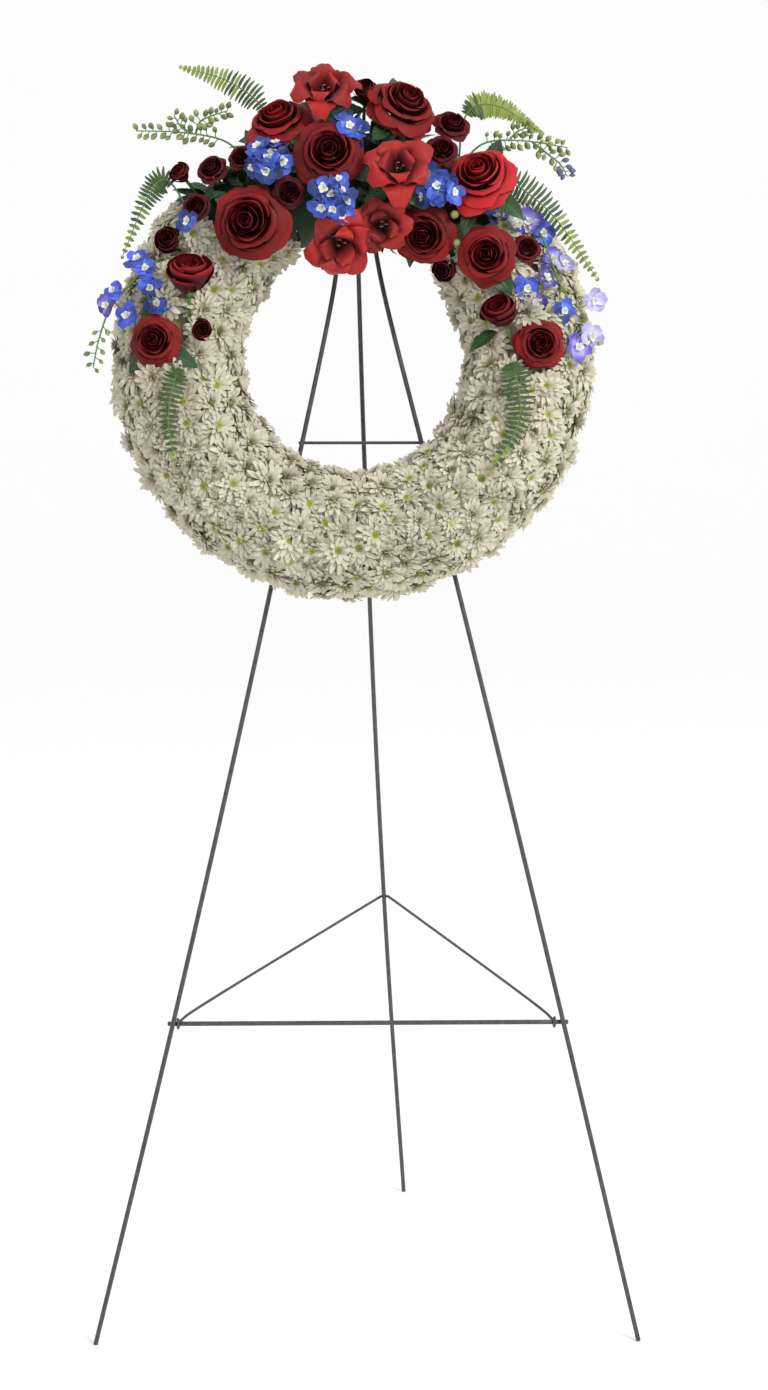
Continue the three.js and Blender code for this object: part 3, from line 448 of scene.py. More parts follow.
# Blooms' places: each stands in the foam on its own stem and looks away from the ring and to the viewer.
# Large roses, spray roses and gladiolus as (x, y, z, across) in the wreath's frame, in millimetres.
SECTION_CENTRE = 40
STEM_RADIUS = 2.2
ROSES = [
    (-127, 156, 148, 96), (-29, 239, 162, 88), (63, 305, 124, 92), (-91, 286, 120, 86), (157, 214, 140, 92),
    (88, 142, 136, 76), (165, 116, 142, 74), (-201, 86, 138, 72), (-245, 13, 126, 64), (184, 42, 134, 58),
    (232, 9, 122, 64),
]
SPRAY_ROSES = [
    (-174, 228, 112, 42), (-212, 224, 92, 34), (-194, 180, 118, 38), (-78, 192, 152, 42), (-226, 138, 112, 42),
    (-188, 26, 128, 32), (124, 282, 112, 50), (16, 322, 112, 40), (126, 168, 122, 40), (216, 128, 120, 38),
    (116, 104, 112, 38),
]
GLADIOLI = [(-35, 318, 132, 88), (55, 214, 176, 92), (-17, 133, 136, 94)]


def section_centre(place):
    """The middle of the flower cover's section nearest to a place."""
    flat = Vector((place[0], place[1], 0))
    flat.length = RING_RADIUS
    return Vector((flat.x, flat.y, SECTION_CENTRE))


def looks(place, to_viewer):
    away = (Vector(place[:3]) - section_centre(place)).normalized()
    return (away + Vector((0, 0, to_viewer))).normalized()


def standing(place, facing, size=1.0, roll=0.0):
    """Carries a bloom built along +Z to its place, looking the way it faces."""
    turn = Vector((0, 0, 1)).rotation_difference(facing).to_matrix().to_4x4()
    return Matrix.Translation(Vector(place[:3])) @ turn @ Matrix.Rotation(roll, 4, "Z") @ Matrix.Scale(size, 4)


def pinned(name, parts, finishes, stands_for):
    """Parts in the wreath's frame, as one piece of the object."""
    grown(name, carried(gathered(parts), WREATH), finishes, [stands_for])


def around(turn, out, height, tip):
    """Carries a leaf built along +Y to its place round a stem."""
    return Matrix.Rotation(turn, 4, "Z") @ Matrix.Translation((0, out, height)) @ Matrix.Rotation(tip, 4, "X")


def maths(tree, operation, *values):
    return node(tree, "Math", dict(enumerate(values)), operation=operation)[0]


def faded(tree, value, low, high):
    """Runs smoothly from 0 to 1 as a value goes from low to high."""
    sockets = {"Value": value, "From Min": low, "From Max": high}
    return node(tree, "MapRange", sockets, interpolation_type="SMOOTHSTEP")["Result"]


def mixed(tree, share, first, second, **settings):
    return node(tree, "Mix", {"Factor": share, "A": first, "B": second}, data_type="RGBA", **settings)["Result"]


def flesh_group(name, **values):
    """The start of a flesh: its sockets, and the notes on each point: X along, Y across and Z the tone."""
    group = bpy.data.node_groups.new(name, "ShaderNodeTree")

    def socket(label, way, kind):
        return group.interface.new_socket(label, in_out=way, socket_type="NodeSocket" + kind)

    for label, way in (("Root", "INPUT"), ("Lip", "INPUT"), ("Colour", "OUTPUT")):
        socket(label, way, "Color")
    socket("Relief", "OUTPUT", "Float")
    for key, value in values.items():
        socket(key.replace("_", " "), "INPUT", "Float").default_value = value
    note = node(group, "Attribute", {}, attribute_name="petal")["Vector"]
    return group, group.nodes.new("NodeGroupInput").outputs, node(group, "SeparateXYZ", {0: note})


def toned(group, given, note):
    """How light each petal is: 1 for the middle tone."""
    return maths(group, "MULTIPLY_ADD", maths(group, "SUBTRACT", note["Z"], 0.5), given["Tone spread"], 1.0)


def closed(group, colour, light, relief):
    """The end of a flesh: its colour under its light, and its relief."""
    end = group.nodes.new("NodeGroupOutput").inputs
    group.links.new(mixed(group, 1.0, colour, light, blend_type="MULTIPLY"), end["Colour"])
    group.links.new(relief, end["Relief"])
    return group


def petal_flesh():
    """Shared flesh of petals: root and lip colours, a tone for each petal, and fine veins from root to lip."""
    group, given, note = flesh_group(
        "petal_flesh", Lip_start=0.2, Lip_end=0.9, Tone_spread=0.5, Veins=0.3, Vein_count=9.0)
    across = maths(group, "MULTIPLY", note["Y"], given["Vein count"])
    apart = maths(group, "MULTIPLY", note["Z"], 61.0)
    lines = node(group, "CombineXYZ", {"X": across, "Y": note["X"], "Z": apart})[0]
    veins = node(group, "TexNoise", {"Vector": lines, "Scale": 1.0, "Detail": 3.0})["Fac"]
    lip = faded(group, note["X"], given["Lip start"], given["Lip end"])
    colour = mixed(group, lip, given["Root"], given["Lip"])
    veined = maths(group, "MULTIPLY", maths(group, "SUBTRACT", veins, 0.5), given["Veins"])
    return closed(group, colour, maths(group, "ADD", toned(group, given, note), veined), veins)


def leaf_flesh():
    """Shared flesh of leaves: midrib and blade colours, a tone for each leaf, and side veins that run to the edge."""
    group, given, note = flesh_group("leaf_flesh", Tone_spread=0.7, Veins=0.35, Vein_count=9.0)
    out = maths(group, "ABSOLUTE", note["Y"])
    slant = maths(group, "MULTIPLY_ADD", out, -0.22, note["X"])
    step = maths(group, "PINGPONG", maths(group, "MULTIPLY", slant, given["Vein count"]), 0.5)
    blade = maths(group, "MULTIPLY", faded(group, step, 0.0, 0.16), faded(group, out, 0.02, 0.14))
    vein = maths(group, "MULTIPLY", maths(group, "SUBTRACT", 1.0, blade), given["Veins"])
    return closed(group, mixed(group, vein, given["Lip"], given["Root"]), toned(group, given, note), blade)


PETAL_FLESH, LEAF_FLESH = petal_flesh(), leaf_flesh()


def fleshed(name, root, lip, roughness, relief=0.4, depth=0.0006, group=PETAL_FLESH, constants={}, **values):
    """A petal or leaf material: the shared flesh with its own colours and veins."""
    material, tree, shader = finish_of(name, roughness, **constants)
    values = {key.replace("_", " "): value for key, value in values.items()}
    flesh = node(tree, "Group", {"Root": (*root, 1), "Lip": (*lip, 1), **values}, node_tree=group)
    tree.links.new(flesh["Colour"], shader["Base Color"])
    embossed(tree, shader, flesh["Relief"], relief, depth)
    return material


ROSE_LEAF = fleshed(
    "rose_leaf", (0.07, 0.15, 0.05), (0.011, 0.045, 0.010), 0.42, 0.5, 0.0008, LEAF_FLESH,
    {"Coat_Weight": 0.12, "Coat_Roughness": 0.3}, Tone_spread=0.9, Veins=0.35, Vein_count=9.0,
)
STALK = fleshed("green_stalk", (0.07, 0.15, 0.03), (0.10, 0.21, 0.04), 0.5, Tone_spread=0.6, Veins=0.3)


def leaf(length, width, rng, teeth=9, finish=0, bend=0.25, fold=0.2):
    """A pointed leaf with a toothed edge along +Y, its face to +Z, folded a little on the midrib."""
    rows = 2 * teeth + 1
    t = np.linspace(0, 1, rows)[:, None]
    s = np.array([-1, -0.5, 0, 0.5, 1])
    half = width / 2 * np.sin(math.pi * t**0.82) ** 0.8
    half = half * np.where(np.arange(rows)[:, None] % 2, 1.0, 0.88) + 0.3 * (1 - t)
    wave = 0.05 * width * np.sin(9 * t + rng.uniform(0, 6)) * np.abs(s)
    z = fold * half * np.abs(s) - bend * length * t**2 + wave
    return sheet(spread(half * s, length * t - np.abs(s) * half * 0.15, z), tone=rng.uniform(0.1, 0.9), finish=finish)


# Large roses: cut red roses, each about 25 velvety petals wound from a tight heart to rolled outer lips,
# on a green cup with five sepals and a stem pushed down into the foam.
VELVET = {"Sheen_Weight": 0.1, "Sheen_Roughness": 0.4, "Specular_IOR_Level": 0.2}
# The petals run from a near-black root to a bright lip: the dark root is painted shade deep in the cup, and the
# bright lip is a painted highlight on the rolled edges.
ROSE_PETAL = fleshed(
    "rose_petal", (0.035, 0.0012, 0.0015), (0.21, 0.007, 0.009), 0.6, 0.3, 0.0005,
    constants={**VELVET, "Sheen_Tint": (0.8, 0.06, 0.08, 1)},
    Lip_start=0.45, Lip_end=1.0, Tone_spread=1.5, Veins=0.4, Vein_count=11.0,
)
ROSE_BASE = -0.46


def rose_petal(turn, reach, height, width, roll, rng, tone):
    """One broad petal round the Z axis: cupped up from the cup, one side tucked in, its lip rolled out."""
    t = np.linspace(0, 1, 10)[:, None]
    s = np.linspace(-1, 1, 11)[None, :]
    notch = rng.uniform(-0.5, 0.5)
    top = 1 - 0.16 * s**4 - 0.06 * s**2 + 0.035 * np.sin(3.2 * s + rng.uniform(0, 6))
    rise = t * (top + 0.05 * np.exp(-(((s - notch) / 0.16) ** 2)))
    belly = np.sin(np.clip(rise * 1.15, 0, 1) * math.pi / 2) ** 0.6
    lip = np.clip((rise - 0.62) / 0.38, 0, 1.15)
    radius = reach * (0.18 + 0.82 * belly) * (1 + 0.085 * s)
    radius = radius + reach * (0.36 * roll * lip**2 - 0.14 * (1 - roll) * lip**1.5)
    ripple = 0.022 * np.sin(5 * s + rng.uniform(0, 6)) * lip
    angle = turn + s * width * (0.4 + 0.6 * np.minimum(t * 1.6, 1) ** 0.7)
    x, y = (radius + ripple) * np.cos(angle), (radius + ripple) * np.sin(angle)
    along = np.clip(rise, 0, 1)
    z = ROSE_BASE + (height - ROSE_BASE) * np.sin(along * math.pi / 2) ** 0.9 - 0.24 * roll * lip**1.6 + ripple
    return sheet(spread(x, y, z), along=along, tone=tone)


def rose_head(rng, tone, layers):
    petals, turn = [], rng.uniform(0, 6.28)
    for count, reach, height, width, roll in layers:
        for k in range(count):
            turn += 2 * math.pi / count + rng.uniform(-0.12, 0.12)
            grow = rng.uniform(0.95, 1.05)
            shade = np.clip(tone + rng.uniform(-0.18, 0.18), 0.02, 1.4)
            petals.append(rose_petal(turn, reach * grow, height * rng.uniform(0.95, 1.05), width, roll, rng, shade))
        turn += 0.9
    return gathered(petals)


def cup_and_stem(radius, stem, rng, leaves=0):
    """The green cup under a rose, its sepals, its stem, and leaves that stand out beneath it. Finishes 1 and 2."""
    neck = -0.50 * radius
    rim = neck + 4
    cup = [(0.1, neck - 6), (0.09 * radius, neck - 5), (0.17 * radius, neck), (0.20 * radius, rim), (0.1, rim)]
    parts = [turned(cup, 12, Matrix(), 1), rod([(0, 0, neck - 2), (0, 0, neck - stem)], STEM_RADIUS, 8, finish=1)]
    for k in range(5):
        sepal = leaf(radius * 0.62, radius * 0.2, rng, 4, 2, bend=-0.2)
        parts.append(carried(sepal, around(2 * math.pi * k / 5, 0.15 * radius, neck + 3, 0.5)))
    for k in range(leaves):
        blade = leaf(rng.uniform(34, 48), rng.uniform(20, 27), rng, 9, 2)
        turn = 2 * math.pi * (k + rng.uniform(0, 0.6)) / leaves
        parts.append(carried(blade, around(turn, radius * 0.52, neck + 2, rng.uniform(-0.1, 0.35))))
    return gathered(parts)


# Rounds of petals from the heart outwards: how many, reach, height, width and how far the lip rolls out
LARGE_LAYERS = [
    (2, 0.12, 0.50, 1.6, 0.0), (3, 0.22, 0.52, 1.4, 0.05), (3, 0.35, 0.50, 1.35, 0.2), (4, 0.48, 0.44, 1.15, 0.4),
    (4, 0.61, 0.31, 1.1, 0.65), (5, 0.72, 0.12, 0.98, 0.9), (5, 0.77, -0.08, 0.9, 0.85),
]
BUD_LAYERS = [
    (2, 0.16, 0.62, 1.7, 0.0), (3, 0.34, 0.72, 1.5, 0.0), (3, 0.58, 0.74, 1.4, 0.0), (3, 0.78, 0.66, 1.25, 0.05),
    (2, 0.86, 0.42, 1.1, 0.2),
]
ROSE_TONE = [0.38, 0.40, 0.45, 0.68, 1.25, 0.42, 0.50, 0.72, 0.38, 0.30, 0.45]
ROSE_BUDS = {8, 10}
# Large roses that are turned from the way their place faces: sideways and up
ROSE_TURN = {1: (-0.3, 0.05), 3: (0.35, 0.2), 4: (-0.2, 0.4), 5: (-0.4, 0.3), 8: (0.05, 1.25), 10: (-0.25, 0.85)}
LEAFY_ROSES = {2: 5, 3: 5, 4: 5, 5: 4, 7: 2, 9: 3, 10: 2, 11: 2}


def stem_length(place, radius):
    """From under a bloom down into the foam."""
    distance = (Vector(place[:3]) - section_centre(place)).length
    return max(8, distance - 46 - 0.55 * radius)


def rose_on_stem(place, facing, layers, tone, rng, leaves=0):
    radius = place[3] / 2
    head = carried(rose_head(rng, tone, layers), Matrix.Scale(radius, 4))
    under = cup_and_stem(radius, stem_length(place, radius), rng, leaves)
    return carried(gathered([head, under]), standing(place, facing, 1, rng.uniform(0, 6)))


for number, place in enumerate(ROSES, 1):
    rng = np.random.default_rng(100 + number)
    facing = (looks(place, 0.8) + Vector((*ROSE_TURN.get(number, (0, 0)), 0))).normalized()
    layers = BUD_LAYERS if number in ROSE_BUDS else LARGE_LAYERS
    bloom = rose_on_stem(place, facing, layers, ROSE_TONE[number - 1], rng, LEAFY_ROSES.get(number, 0))
    pinned(f"large_rose_{number}", [bloom], [ROSE_PETAL, STALK, ROSE_LEAF], f"rose_{number}")


# Spray roses: smaller and darker roses and half-open buds that fill in between the large ones.
# Two of them carry a second head on a side stem.
# As on the large roses, the dark root is painted shade deep in the cup, and the lighter lip is a painted highlight on
# the rolled edges.
SPRAY_ROSE_PETAL = fleshed(
    "spray_rose_petal", (0.018, 0.0006, 0.001), (0.090, 0.003, 0.005), 0.6, 0.3, 0.0005,
    constants={**VELVET, "Sheen_Tint": (0.6, 0.05, 0.07, 1)},
    Lip_start=0.4, Lip_end=1.0, Tone_spread=0.9, Veins=0.3, Vein_count=9.0,
)
SPRAY_LAYERS = [
    (3, 0.18, 0.52, 1.4, 0.0), (3, 0.34, 0.54, 1.25, 0.1), (4, 0.50, 0.46, 1.05, 0.3), (5, 0.66, 0.32, 0.95, 0.6),
    (5, 0.76, 0.10, 0.9, 0.8),
]
SPRAY_TONE = [0.5, 0.6, 0.3, 0.4, 0.3, 0.6, 0.6, 0.2, 0.35, 0.75, 0.25]
SPRAY_BUDS = {2, 5, 6, 8, 11}
SECOND_HEADS = {1: (-137, 239, 128, 36), 7: (110, 248, 128, 44)}

for number, place in enumerate(SPRAY_ROSES, 1):
    rng = np.random.default_rng(200 + number)
    heads, necks = [], []
    for each in filter(None, (place, SECOND_HEADS.get(number))):
        facing = looks(each, 0.5)
        layers = BUD_LAYERS if number in SPRAY_BUDS else SPRAY_LAYERS
        heads.append(rose_on_stem(each, facing, layers, SPRAY_TONE[number - 1], rng))
        necks.append(Vector(each[:3]) - facing * 0.55 * each[3] / 2)
    if len(necks) > 1:
        heads.append(rod(necks, STEM_RADIUS, 8, finish=1))
    finishes = [SPRAY_ROSE_PETAL, STALK, ROSE_LEAF]
    pinned(f"spray_rose_bloom_{number}", heads, finishes, f"spray_rose_{number}")


# Gladiolus: bright red florets cut from their spike, each six ruffled petals round a dark throat,
# with three stamens and a green base. The second bloom keeps a smaller floret below it on the same spike.
GLADIOLUS_PETAL = fleshed(
    "gladiolus_petal", (0.035, 0.001, 0.001), (0.30, 0.010, 0.008), 0.55, 0.5, 0.0007,
    constants={"Sheen_Weight": 0.05, "Specular_IOR_Level": 0.3},
    Lip_start=0.15, Lip_end=0.75, Tone_spread=0.9, Veins=0.7, Vein_count=8.0,
)
ANTHER = fleshed("gladiolus_anther", (0.22, 0.03, 0.04), (0.40, 0.16, 0.15), 0.7, Tone_spread=0.4, Veins=0.3)


def swung(turn, x, y, z):
    """A petal's grid, built out along +X, turned round the Z axis."""
    return spread(x * math.cos(turn) - y * math.sin(turn), x * math.sin(turn) + y * math.cos(turn), z)


def gladiolus_petal(turn, reach, width, lift, rng):
    t = np.linspace(0, 1, 14)[:, None]
    s = np.linspace(-1, 1, 11)[None, :]
    half = width * np.sin(math.pi * (0.10 + 0.84 * t**0.9)) ** 0.7 * (1 - 0.12 * t)
    phase = rng.uniform(0, 6, 2)
    ruffle = (0.085 * np.sin(15 * t + phase[0]) * s**2 + 0.05 * np.sin(9 * t + 2 * s + phase[1]) * np.abs(s)) * t
    bend = rng.uniform(-0.18, 0.18)
    flare = -0.45 + 0.90 * np.sin(np.minimum(t * 1.2, 1) * math.pi / 2) ** 0.8
    flare = flare - rng.uniform(0.1, 0.5) * np.clip((t - 0.55) / 0.45, 0, 1) ** 2
    z = flare * (0.75 + lift) + (0.16 - 0.22 * t) * s**2 + ruffle
    grid = swung(turn, reach * (0.06 + 0.94 * t**1.1), half * s + bend * t**2 * reach, z)
    return sheet(grid, tone=rng.uniform(0.15, 0.85))


def gladiolus_floret(rng, radius):
    turn = rng.uniform(0, 6.28)
    petals = []
    for ring, (width, reach, lift) in enumerate(((0.50, 1.02, -0.05), (0.46, 0.92, 0.14), (0.30, 0.55, 0.34))):
        for k in range(3):
            angle = turn + 2 * math.pi * (k + 0.5 * ring) / 3 + rng.uniform(-0.15, 0.15)
            petals.append(gladiolus_petal(angle, reach * rng.uniform(0.9, 1.05), width, lift, rng))
    parts = [carried(gathered(petals), Matrix.Scale(radius, 4))]
    base = Vector((0, 0, -0.3 * radius))
    for k in range(3):
        tip = Vector((0.10 * math.cos(2 * k), 0.10 * math.sin(2 * k) + 0.06, 0.16)) * radius
        parts.append(rod(curved([base, base.lerp(tip, 0.6), tip], 6), 0.6, 6, finish=1))
        anther = curved([tip, tip + Vector((1.5, 0, 1)), tip + Vector((3.5, 0, 1))], 5)
        parts.append(rod(anther, 0.9, 6, finish=1))
    tube = [(0.1 / radius, -0.75), (0.09, -0.72), (0.13, -0.3), (0.1 / radius, -0.25)]
    return gathered([*parts, turned(tube, 10, Matrix.Scale(radius, 4), 2)])


LOWER_FLORET = {2: (36, 152, 147, 78)}
# Rose leaves pushed in under each bloom, and how each looks: to the viewer, and up
GLADIOLUS_LEAVES = [7, 4, 0]
GLADIOLUS_LOOK = [(0.75, 0.1), (1.1, 0.3), (0.6, -0.1)]

for number, place in enumerate(GLADIOLI, 1):
    rng = np.random.default_rng(300 + number)
    to_viewer, up = GLADIOLUS_LOOK[number - 1]
    leaves = GLADIOLUS_LEAVES[number - 1]
    radius, facing = place[3] / 2, (looks(place, to_viewer) + Vector((0, up, 0))).normalized()
    parts = [gladiolus_floret(rng, radius)]
    stem_end = -0.55 * radius - 3 - stem_length(place, radius)
    parts.append(rod([(0, 0, -0.7 * radius), (0, 0, stem_end)], STEM_RADIUS, 8, finish=2))
    for k in range(leaves):
        blade = leaf(rng.uniform(38, 48), rng.uniform(20, 26), rng, 8, 3)
        turn = 2 * math.pi * (k + rng.uniform(0, 0.5)) / leaves
        parts.append(carried(blade, around(turn, 4, -0.72 * radius, rng.uniform(0.1, 0.4))))
    blooms = [carried(gathered(parts), standing(place, facing))]
    if number in LOWER_FLORET:
        low = LOWER_FLORET[number]
        # The lower floret is made 0.3 darker in tone: painted shade under the bloom above it.
        blooms.append(carried(gladiolus_floret(rng, low[3] / 2), standing(low, looks(low, 0.9)), -0.3))
    finishes = [GLADIOLUS_PETAL, ANTHER, STALK, ROSE_LEAF]
    pinned(f"gladiolus_bloom_{number}", blooms, finishes, f"gladiolus_{number}")


# Delphinium: florets of five blue petals round a small white eye, with a spur behind,
# in clusters between the roses and on two loose sprays that arch out to the sides.
DELPHINIUM_HEADS = [(-105, 231, 150, 31, 7), (-24, 184, 166, 30, 8), (-2, 266, 150, 21, 4), (104, 196, 162, 25, 6)]
DELPHINIUM_SPRAYS = {
    "left": [(-200, 112, 74), (-240, 116, 106), (-274, 88, 108), (-302, 56, 98), (-316, 20, 94), (-324, -14, 86)],
    "right": [(194, 152, 74), (230, 152, 110), (258, 86, 110), (300, 14, 92)],
}
SPRAY_FLORETS = {
    "left": [
        (-204, 160, 132), (-258, 105, 112), (-251, 81, 114), (-243, 61, 112), (-298, 78, 106), (-306, 60, 106),
        (-280, 47, 110), (-226, 92, 104), (-268, 118, 104),
    ],
    "right": [
        (180, 168, 112), (200, 163, 112), (220, 164, 106), (264, 111, 108), (240, 92, 116), (216, 79, 120),
        (227, 61, 120), (263, 52, 112), (302, 66, 100), (298, 22, 100), (281, 8, 104), (250, 118, 104),
        (238, 150, 100),
    ],
}
def delphinium_petal(shade, root, lip, start, end, tone_spread, veins):
    return fleshed(
        f"delphinium_{shade}", root, lip, 0.55, 0.4, 0.0004, constants={"Sheen_Weight": 0.1},
        Lip_start=start, Lip_end=end, Tone_spread=tone_spread, Veins=veins, Vein_count=6.0,
    )


NAVY_PETAL = delphinium_petal("navy", (0.10, 0.18, 0.52), (0.018, 0.048, 0.30), 0.05, 0.7, 1.6, 0.8)
BLUE_PETAL = delphinium_petal("blue", (0.10, 0.15, 0.60), (0.040, 0.072, 0.46), 0.05, 0.7, 1.4, 0.8)
VIOLET_PETAL = delphinium_petal("violet", (0.34, 0.31, 0.62), (0.075, 0.050, 0.34), 0.1, 0.85, 1.5, 0.9)
PALE_PETAL = delphinium_petal("pale", (0.54, 0.52, 0.71), (0.32, 0.28, 0.54), 0.1, 0.95, 0.7, 0.6)
DELPHINIUM_EYE = fleshed("delphinium_eye", (0.50, 0.48, 0.34), (0.66, 0.70, 0.76), 0.6, Tone_spread=0.3, Veins=0.3)
BUD_GREEN = fleshed("bud_green", (0.12, 0.16, 0.04), (0.25, 0.27, 0.09), 0.5, Tone_spread=1.0, Veins=0.4)
FLORET_RADIUS = 15.5


def delphinium_floret(rng, finish=0):
    """Five broad petals, no two alike, and the white eye, looking along +Z, with the spur behind."""
    parts = []
    t, s = np.linspace(0, 1, 7)[:, None], np.linspace(-1, 1, 5)[None, :]
    start = rng.uniform(0, 6.28)
    for k in range(5):
        turn = start + 2 * math.pi * k / 5 + rng.uniform(-0.2, 0.2)
        reach, width = FLORET_RADIUS * rng.uniform(0.75, 1.1), FLORET_RADIUS * rng.uniform(0.42, 0.58)
        half = width * np.sin(math.pi * (0.10 + 0.80 * t)) ** 0.6
        cup, curl = rng.uniform(-0.05, 0.45), rng.uniform(-0.3, 0.5)
        z = -2 + cup * reach * t**1.5 + curl * half * s**2 + 0.9 * np.sin(6 * t + 2 * s + k)
        parts.append(sheet(swung(turn, 1 + reach * t, half * s, z), tone=rng.uniform(0.1, 1.0), finish=finish))
    t, s = np.linspace(0, 1, 4)[:, None], np.linspace(-1, 1, 3)[None, :]
    for k in range(5):
        turn = start + 0.3 + 2 * math.pi / 5 * k + rng.uniform(-0.3, 0.3)
        reach, half = rng.uniform(3.4, 6.0), 2.8 * np.sin(math.pi * (0.15 + 0.75 * t))
        grid = swung(turn, 0.4 + reach * t, half * s, 0.2 + 2.8 * t + 0.4 * s**2)
        parts.append(sheet(grid, tone=rng.uniform(0.3, 0.9), finish=1))
    spur = curved([(0, 0, -1), (1.5, 0, -6), (5, 0, -10)], 5)
    return gathered([*parts, rod(spur, [2.2, 1.8, 1.4, 1.0, 0.5], 6, finish=finish)])


for number, (x, y, z, half, florets) in enumerate(DELPHINIUM_HEADS, 1):
    rng = np.random.default_rng(400 + number)
    place = Vector((x, y, z))
    facing = looks(place, 1)
    side = facing.cross(Vector((0, 1, 0))).normalized()
    over = side.cross(facing).normalized()
    foot = place - facing * (stem_length(place, 20) + 10)
    parts = [rod([foot, place + facing * 4], STEM_RADIUS, 8, finish=2)]
    for k in range(florets):
        angle, share = 2.4 * k, math.sqrt(k / (florets - 1))
        out = side * math.cos(angle) + over * math.sin(angle)
        spot = place + out * (share * (half - 7)) + facing * (14 - 12 * share) + Vector(rng.uniform(-4, 4, 3))
        look = (facing + out * (0.9 * share) + Vector(rng.uniform(-0.35, 0.35, 3))).normalized()
        parts.append(carried(delphinium_floret(rng), standing(spot, look, rng.uniform(0.9, 1.2), angle)))
        root = place - facing * (4 + 14 * share)
        parts.append(rod(curved([root, root.lerp(spot, 0.6) + out * 2, spot - look * 2], 6), 0.9, 6, finish=2))
    finishes = [NAVY_PETAL, DELPHINIUM_EYE, STALK]
    pinned(f"delphinium_cluster_{number}", parts, finishes, f"delphinium_head_{number}")


def bud(length, rng, finish):
    """A closed pointed bud along +Z."""
    t = np.linspace(0, 1, 6)[:, None]
    a = np.linspace(0, 2 * math.pi, 8, endpoint=False)
    r = 0.36 * length * np.sin(math.pi * (0.06 + 0.90 * t)) ** 0.8 * (1 + 0.12 * np.cos(3 * a))
    grid = spread(r * np.cos(a), r * np.sin(a), length * t)
    return sheet(grid, tone=rng.uniform(0.2, 0.9), wrap=True, finish=finish)


def ways_at(path, i):
    """The way a path runs at one of its points, and the way across it."""
    ahead = Vector(path[min(i + 1, len(path) - 1)] - path[max(i - 1, 0)]).normalized()
    return ahead, ahead.cross(Vector((0, 0, 1))).normalized()


# The finish of each floret of a spray: 0 blue, 3 navy, 5 violet, 6 pale
SPRAY_COLOURS = {"left": [3, 0, 0, 3, 0, 5, 0, 3, 0], "right": [3, 3, 5, 6, 5, 0, 5, 3, 6, 6, 5, 5, 3]}

for side_name, points in DELPHINIUM_SPRAYS.items():
    rng = np.random.default_rng(450 + len(side_name))
    path = curved(points, 70)
    parts = [rod(path, np.linspace(1.8, 0.8, 70), 8, finish=2)]
    for k, (place, colour) in enumerate(zip(SPRAY_FLORETS[side_name], SPRAY_COLOURS[side_name])):
        spot = Vector(place)
        root = Vector(min(path, key=lambda p: (Vector(p) - spot).length))
        look = (looks(place, 1) + Vector(rng.uniform(-0.5, 0.5, 3))).normalized()
        parts.append(carried(delphinium_floret(rng, colour), standing(spot, look, rng.uniform(0.9, 1.12), k)))
        parts.append(rod(curved([root, root.lerp(spot, 0.5) - look * 2, spot - look * 2], 6), 0.7, 6, finish=2))
    for k in range(9):
        i = 69 - int(2.6 * k)
        root, (ahead, across) = Vector(path[i]), ways_at(path, i)
        across = across * (1 if k % 2 else -1)
        out = (across + ahead * rng.uniform(0.2, 0.8) + Vector((0, 0, rng.uniform(-0.3, 0.6)))).normalized()
        spot = root + out * rng.uniform(3, 8)
        parts.append(rod(curved([root, root.lerp(spot, 0.5) + ahead, spot], 4), 0.6, 6, finish=2))
        turn = standing(spot - out * 0.5, (out + ahead * 0.4).normalized())
        parts.append(carried(bud(rng.uniform(6, 9), rng, 4), turn))
    finishes = [BLUE_PETAL, DELPHINIUM_EYE, STALK, NAVY_PETAL, BUD_GREEN, VIOLET_PETAL, PALE_PETAL]
    pinned(f"delphinium_arch_{side_name}", parts, finishes, f"delphinium_spray_{side_name}")


# Fern fronds: sword fern, a wiry midrib with a leaflet pair every few millimetres, stuck in among the roses.
# Each arches out past the ring or lies down over the white flowers. A frond is its path, how far its leaflets
# reach, the bare share of its stalk, how light it is, and how far apart its leaflets are.
FERNS = [
    ([(-112, 226, 72), (-106, 300, 78), (-152, 344, 76), (-218, 367, 64)], 19, 0.42, 0.72, 5.4),
    ([(-184, 143, 76), (-228, 216, 92), (-256, 196, 88), (-291, 124, 58)], 17, 0.32, 0.48, 6.2),
    ([(-208, -8, 72), (-217, -28, 134), (-228, -84, 136), (-218, -152, 124)], 16, 0.28, 0.22, 6.2),
    ([(132, 214, 74), (142, 300, 84), (182, 314, 80), (243, 281, 64)], 18, 0.36, 0.95, 3.6),
    ([(166, 160, 74), (186, 216, 92), (248, 178, 88), (312, 96, 56)], 23, 0.26, 0.50, 5.4),
    ([(188, -4, 72), (198, -24, 134), (204, -88, 138), (166, -156, 124)], 21, 0.26, 0.22, 6.2),
]
LEAFLET = fleshed(
    "fern_leaflet", (0.07, 0.12, 0.02), (0.030, 0.068, 0.012), 0.5, 0.4, 0.0004, LEAF_FLESH,
    Tone_spread=0.9, Veins=0.5, Vein_count=8.0,
)
YOUNG_LEAFLET = fleshed(
    "fern_tip_leaflet", (0.27, 0.33, 0.07), (0.19, 0.25, 0.035), 0.5, 0.4, 0.0004, LEAF_FLESH,
    Tone_spread=0.8, Veins=0.5, Vein_count=8.0,
)
FROND_STEPS = 200


def leaflet(length, width, tone, finish):
    """One narrow leaflet along +Y with an eared root, face to +Z."""
    t = np.linspace(0, 1, 7)[:, None]
    s = np.array([-1, 0, 1])
    half = width / 2 * np.sin(math.pi * (0.16 + 0.80 * t**0.8)) ** 0.6
    bend = 0.14 * length * t**2
    return sheet(spread(half * s + bend, length * t, 0.25 * half * np.abs(s) - bend), tone=tone, finish=finish)


